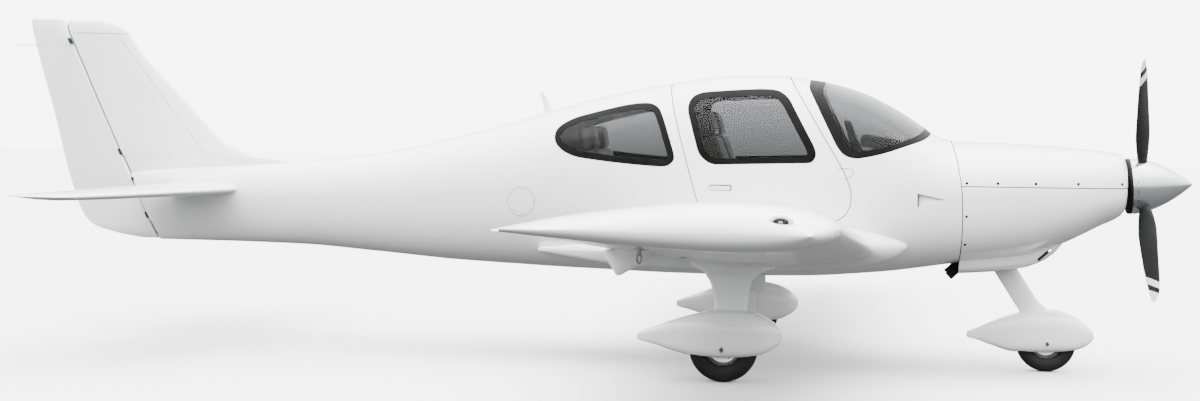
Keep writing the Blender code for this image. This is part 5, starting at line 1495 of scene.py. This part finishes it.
fin_shape = remembered(loft("fin_shape", fin_rings, [], None))
cowl_lines = remembered(hull_shell("cowl_shape", cowl_stations, 0.0, 0.01, [paint]))
LATCH = [(1.752, 1.262), (1.822, 1.263), (1.845, 1.257), (1.853, 1.240), (1.845, 1.222), (1.832, 1.212),
         (1.800, 1.200),
         (1.797, 1.192)]
for side, label in SIDES:
    lines = [skin_line("panel_ring", fuselage_skin, circle(-0.293, 1.006, 0.094), side, 0.0024, True, 0.02),
             skin_line("latch_line", fuselage_skin, rounded(LATCH, 0.01, 2)[1:-1], side, 0.0038, False,
                       0.006)]
    heads = screw_heads(fuselage_skin, [(-0.361, 1.003), (-0.203, 1.007), (-0.347, 0.951), (-0.283, 0.927),
                                                 (-0.285, 1.085), (-0.226, 0.957)], side, 0.0042)
    heads += screw_heads(fuselage_skin, [(1.838, 1.240), (1.826, 1.222)], side, 0.0032)
    place(joined("skin_details_" + label, lines + heads), "airframe", "cabin_shell")
    heads = screw_heads(cowl_lines, [(2.545, 1.185), (2.734, 1.187), (2.964, 1.189), (3.224, 1.190),
                                     (3.502, 1.191)],
                        side, 0.0105)
    place(joined("cowl_screws_upper_" + label, heads), "airframe", "cowling_upper")
    heads = screw_heads(cowl_lines, [(2.547, 0.979), (2.545, 0.800)], side, 0.0095)
    place(joined("cowl_screws_lower_" + label, heads), "airframe", "cowling_lower")
    lines = [skin_line("fin_line", fin_shape,
                       [(-3.337, 2.109), (-3.055, 1.760), (-2.760, 1.395), (-2.600, 1.197)], side, 0.0022),
             skin_line("cap_line", fin_shape, [(-3.672, 2.117), (-3.250, 2.110)], side, 0.0034)]
    # A flat dark strip beside the rudder's leading edge is painted shade in the gap between fin and rudder.
    strip = []
    for z in spread(0.70, 2.18, 0.0185):
        hinge = rudder_hinge_x(min(z, 2.15))
        spot = on_skin(fuselage_skin, hinge + 0.0125, z, side)
        wide = max(smooth_columns(FIN_ROWS, z)[0][1] * 0.84 if z > 1.0 else 0.0,
                   abs(spot.y) if spot else 0.0)
        fore, aft = (0.0170, 0.0102) if wide > 0.0290 else (0.0190, 0.0126)
        strip.append((hinge + aft, hinge + fore, (wide + 0.0004) * side, z + LIFT))
    place(edge_strip("rudder_gap_shade_" + label, strip, side), "airframe", "fin")
    place(joined("fin_lines_" + label, lines), "airframe", "fin")
    whisker = tube("whisker_" + label, [(-3.640, 0.020 * side, 2.031 + LIFT),
                                        (-3.700, 0.12 * side, 2.026 + LIFT),
                                        (-3.868, 0.450 * side, 2.005 + LIFT)], 0.0028, steel)
    place(whisker, "airframe", "fin")

brackets = []
for x, z in ((-3.305, 1.277), (-3.203, 1.079), (-3.101, 0.834), (-3.686, 2.058)):
    brackets.append(soft_box("bracket", (x - 0.010, -0.038, z + LIFT - 0.022),
                             (x + 0.012, 0.038, z + LIFT + 0.022), 0.004,
                             dark_line, 2, lambda p, x=x,
                             z=z: Vector((p.x - 0.47 * (p.z - z - LIFT), p.y, p.z))))
place(joined("rudder_brackets", brackets), "airframe", "fin")

# Door handles: a flush paddle in a slot of the skin, over a dark cup that is painted shade in the recess
slot_line = rounded([(0.951, 1.110), (1.096, 1.110), (1.096, 1.149), (0.951, 1.149)], 0.0190, 6)
door_shape = remembered(hull_shell("door_shape", DOOR_STATIONS, 0.0, SKIN_DEPTH, [paint], 128))
for side, label in SIDES:
    door = bpy.data.objects["door_skin_" + label]
    cut(door, cutter([side_prism(slot_line, side, 0.50)]))
    door_shape.shade(door)
    paddle = hull_shell("door_paddle_" + label, spread(0.90, 1.15, 0.05), 0.0085, 0.0130, [paint], 96)
    cut(paddle, cutter([side_prism(inset(slot_line, 0.0050), side, 0.50)], 1), "INTERSECT")
    paddle.data.transform(Matrix.Translation((-0.004, 0, -0.002)))
    # The dark cup behind the slot is painted shade in the handle's recess.
    back = hull_shell("door_recess_shade_" + label, spread(0.90, 1.15, 0.05), 0.014, 0.018, [dark_line], 96)
    cut(back, cutter([side_prism(grown(slot_line, 0.004), side, 0.50)], 1), "INTERSECT")
    for made in (paddle, back):
        made.data.set_sharp_from_angle(angle=0.6)
        place(made, "door_" + label, "door_" + label)

# Cabin air vent: a shallow wedge that opens aft, with painted shade: a dark box at its deep aft end and dark
# lines along its aft and upper edges
for side, label in SIDES:
    tip, upper, lower = (2.405, 1.080), (2.247, 1.114), (2.249, 1.032)
    ring_out = [(x, 1.0 * side, z + LIFT) for x, z in (tip, upper, lower)]
    depth = 0.0235
    ring_in = [(x, (hull_y(x, z) - d) * side, z + LIFT) for (x, z),
               d in ((tip, 0.0005), (upper, depth), (lower, depth))]
    faces = [(0, 1, 2), (3, 4, 5), (0, 1, 4, 3), (1, 2, 5, 4), (2, 0, 3, 5)]
    cut(fuselage, cutter([(ring_out + ring_in, faces, [0] * 5)]))
    # Dark box at the deep aft end: painted shade for the vent's opening.
    deep_shade = soft_box("vent_deep_shade_" + label, (2.2462, -0.0035, 1.042 + LIFT), (2.2500, 0.0035, 1.104 + LIFT),
                    0.001, dark_line)
    deep_shade.data.transform(Matrix.Translation((0, (hull_y(2.248, 1.073) - 0.012) * side,
                                            0)) @ Matrix.Scale(2.2, 4, (0, 1, 0)))
    # Dark lines along the upper and aft edges: painted shade.
    rim = [skin_line("vent_rim", fuselage_skin, [tip, upper], side, 0.0032),
           skin_line("vent_rim", fuselage_skin, [upper, lower], side, 0.0050)]
    place(joined("vent_rim_" + label, rim), "airframe", "cabin_shell")
    place(deep_shade, "airframe", "cabin_shell")
fuselage_skin.shade(fuselage)


# Wing fittings: root fairing, tip lamp, tie-down and the fairing on each flap
def root_rings():
    """Rings of the fairing that leads the wing into the body."""
    table = [(0.0, 0.20, 0.017, 0.56), (0.012, 0.14, 0.030, 0.57), (0.04, 0.07, 0.040, 0.58),
             (0.11, 0.02, 0.045, 0.58),
             (0.22, 0.0, 0.045, 0.58), (0.38, 0.0, 0.045, 0.58), (0.55, -0.02, 0.045, 0.58),
             (0.745, -0.10, 0.035, 0.57),
             (0.87, -0.29, 0.020, 0.53), (1.0, -0.59, 0.015, 0.47)]
    under = [(0.0, 0.20, 0.017, 0.56), (0.012, 0.15, -0.012, 0.57), (0.06, 0.06, -0.030, 0.58),
             (0.18, 0.01, -0.035, 0.58),
             (0.38, 0.0, -0.040, 0.58), (0.62, -0.05, -0.055, 0.58), (0.87, -0.25, -0.065, 0.53),
             (1.0, -0.59, 0.0, 0.47)]
    rings = []
    shares = [(1.0, 0.10), (1.0, 0.03), (1.0, 0.0), (0.80, -0.022), (0.60, -0.045), (0.42, -0.068),
              (0.27, -0.092),
              (0.15, -0.116), (0.065, -0.140), (0.015, -0.165), (0.0, -0.185)]
    for share, pull in shares:
        ring = []
        for s, level in AEROFOIL:
            shift_x, shift_z, beside = smooth_columns(table if level >= 0 else under, s)[0]
            x, _, z = wing_point(beside - pull, s, level * (1.0 if share else 0.985))
            ring.append((x + shift_x * share, beside - pull, z + shift_z * share))
        rings.append(ring)
    return rings


fairing_rings = root_rings()
for side, label in SIDES:
    root = loft("root_fairing_" + label, sided(fairing_rings, side), [paint, cut_wall_shade], None)
    carve(root, cutter([hull_block], 2))
    place(root, "airframe", "wing_" + label)
    outline = rounded([(0.480, 0.812), (0.566, 0.672), (0.588, 0.667), (0.800, 0.788), (0.770, 0.822)],
                      0.02, 5)
    rings = []
    for t in np.linspace(-1.0, 1.0, 9):
        shrink = math.sqrt(max(0.0, 1 - 0.9 * t * t))
        rings.append([(0.64 + (x - 0.64) * (0.55 + 0.45 * shrink), (1.900 + 0.016 * t) * side,
                       0.815 + (z - 0.815) * shrink + LIFT) for x, z in outline])
    hinge_fairing = loft("flap_fairing_" + label, rings, [paint], 40)
    place(hinge_fairing, "flap_" + label, "flap_" + label)
    tip_skin = Skin(bpy.data.objects["wing_skin_" + label])
    spot = tip_skin.tree.ray_cast(Vector((1.703, 7.0 * side, 1.191 + LIFT)), Vector((0, -side, 0)))[0]
    for name, size, depth, material in (("tip_lamp_base_", (0.042, 0.0075, 0.0235), -0.0010, paint),
                                        ("tip_lamp_well_", (0.0320, 0.0086, 0.0168), -0.0002, seal),
                                        ("tip_lamp_lens_", (0.0328, 0.0100, 0.0176), 0.0000, lens),
                                        ("tip_lamp_bulb_", (0.009, 0.0026, 0.0045), 0.0066, alloy)):
        bm = bmesh.new()
        bmesh.ops.create_uvsphere(bm, u_segments=40, v_segments=20, radius=1.0)
        made = from_bmesh(bm, name + label, material)
        made.data.transform(Matrix.Translation(spot + Vector((0, depth * side,
                                                              0))) @ Matrix.Diagonal((*size, 1.0)))
        place(made, "airframe", "wing_" + label)
    tie_x, tie_y = 1.030, 4.20 * side
    low_skin = wing_point(4.20, (wing_edge(4.20)[0] - tie_x) / wing_edge(4.20)[2], -1)
    ring_points = [(tie_x + 0.010 * math.cos(t), tie_y, low_skin.z - 0.042 + 0.018 * math.sin(t))
                   for t in turns(24)]
    tie_parts = [tube("ring", ring_points, 0.0045, steel, True),
                 tube("post", [(tie_x, tie_y, low_skin.z + 0.004), (tie_x, tie_y, low_skin.z - 0.022)],
                      0.008, steel),
                 tube("foot", [(tie_x, tie_y, low_skin.z + 0.003), (tie_x, tie_y, low_skin.z - 0.004)],
                      0.020, steel)]
    place(joined("tie_down_" + label, tie_parts), "airframe", "wing_" + label)

antenna_rings = []
for k in range(12):
    t = k / 11
    chord = 0.030 + (0.014 - 0.030) * t
    x, z = -0.212 - 0.050 * t, 1.600 + 0.134 * t
    if k == 11:
        chord *= 0.5
    antenna_rings.append([(x + math.cos(a) * chord, math.sin(a) * chord * 0.24 * (1 + 0.3 * math.cos(a)),
                           z + LIFT)
                          for a in turns(24)])
antenna = loft("antenna_blade", antenna_rings, [paint], 50)
place(antenna, "airframe", "roof_antenna", "roof_antenna")

# Camera, floor and light
camera_data = bpy.data.cameras.new("camera")
camera = linked("camera", camera_data)
camera_data.lens = CAMERA_LENS
camera_data.sensor_width = 36.0
camera_data.clip_end = 200.0
right = Vector((math.cos(CAMERA_YAW), math.sin(CAMERA_YAW), 0.0))
ahead = Vector((-math.sin(CAMERA_YAW), math.cos(CAMERA_YAW), 0.0))
view = ahead * math.cos(CAMERA_PITCH) + Vector((0, 0, 1)) * math.sin(CAMERA_PITCH)
above = Vector((0, 0, 1)) * math.cos(CAMERA_PITCH) - ahead * math.sin(CAMERA_PITCH)
right, above = (right * math.cos(CAMERA_ROLL) + above * math.sin(CAMERA_ROLL),
                above * math.cos(CAMERA_ROLL) - right * math.sin(CAMERA_ROLL))
turn = Matrix((right, above, -view)).transposed().to_4x4()
camera.matrix_world = Matrix.Translation(CAMERA_PLACE) @ turn
bpy.context.scene.camera = camera

bpy.ops.mesh.primitive_plane_add(size=160, location=(0, 0, -0.0005))
ground = bpy.context.object
ground.name = "floor"
ground.data.materials.append(floor_paint)
# The floor throws no light back up, so the underside stays as dark as in the photo
ground.visible_diffuse = False
ground.visible_glossy = False

# The room is bright above, soft at the sides and dim below, and its far wall looks as pale as the floor
ROOM = ((-1.0, 0.018), (-0.03, 0.022), (0.03, 0.145), (0.5, 0.38), (1.0, 1.0))
world = bpy.data.worlds.new("studio")
bpy.context.scene.world = world
world.use_nodes = True
tree = world.node_tree
seen = tree.nodes["Background"]
seen.inputs["Color"].default_value = (1.0, 1.0, 1.0, 1.0)
seen.inputs["Strength"].default_value = 7.2
height = tree.nodes.new("ShaderNodeSeparateXYZ")
ramp = tree.nodes.new("ShaderNodeValToRGB")
shift = tree.nodes.new("ShaderNodeMapRange")
shift.inputs["From Min"].default_value = -1.0
around = tree.nodes.new("ShaderNodeBackground")
around.inputs["Strength"].default_value = 13.0
while len(ramp.color_ramp.elements) < len(ROOM):
    ramp.color_ramp.elements.new(0.5)
for stop, (rise, grey) in zip(ramp.color_ramp.elements, ROOM):
    stop.position = 0.5 * (rise + 1.0)
    stop.color = (grey, grey, grey, 1.0)
directions = tree.nodes.new("ShaderNodeTexCoord")
rays = tree.nodes.new("ShaderNodeLightPath")
choice = tree.nodes.new("ShaderNodeMixShader")
tree.links.new(directions.outputs["Generated"], height.inputs["Vector"])
tree.links.new(height.outputs["Z"], shift.inputs["Value"])
tree.links.new(shift.outputs["Result"], ramp.inputs["Fac"])
tree.links.new(ramp.outputs["Color"], around.inputs["Color"])
tree.links.new(rays.outputs["Is Camera Ray"], choice.inputs["Fac"])
tree.links.new(around.outputs["Background"], choice.inputs[1])
tree.links.new(seen.outputs["Background"], choice.inputs[2])
tree.links.new(choice.outputs["Shader"], tree.nodes["World Output"].inputs["Surface"])


def area_light(name, place, target, size, power):
    """Soft rectangular light that faces a target."""
    light = bpy.data.lights.new(name, "AREA")
    light.shape = "RECTANGLE"
    light.size, light.size_y = size
    light.energy = power
    made = linked(name, light)
    made.location = place
    made.rotation_euler = (Vector(target) - Vector(place)).to_track_quat("-Z", "Y").to_euler()


area_light("overhead", (1.0, -1.5, 7.0), (0.5, 0.0, 0.5), (12.0, 2.0), 300.0)
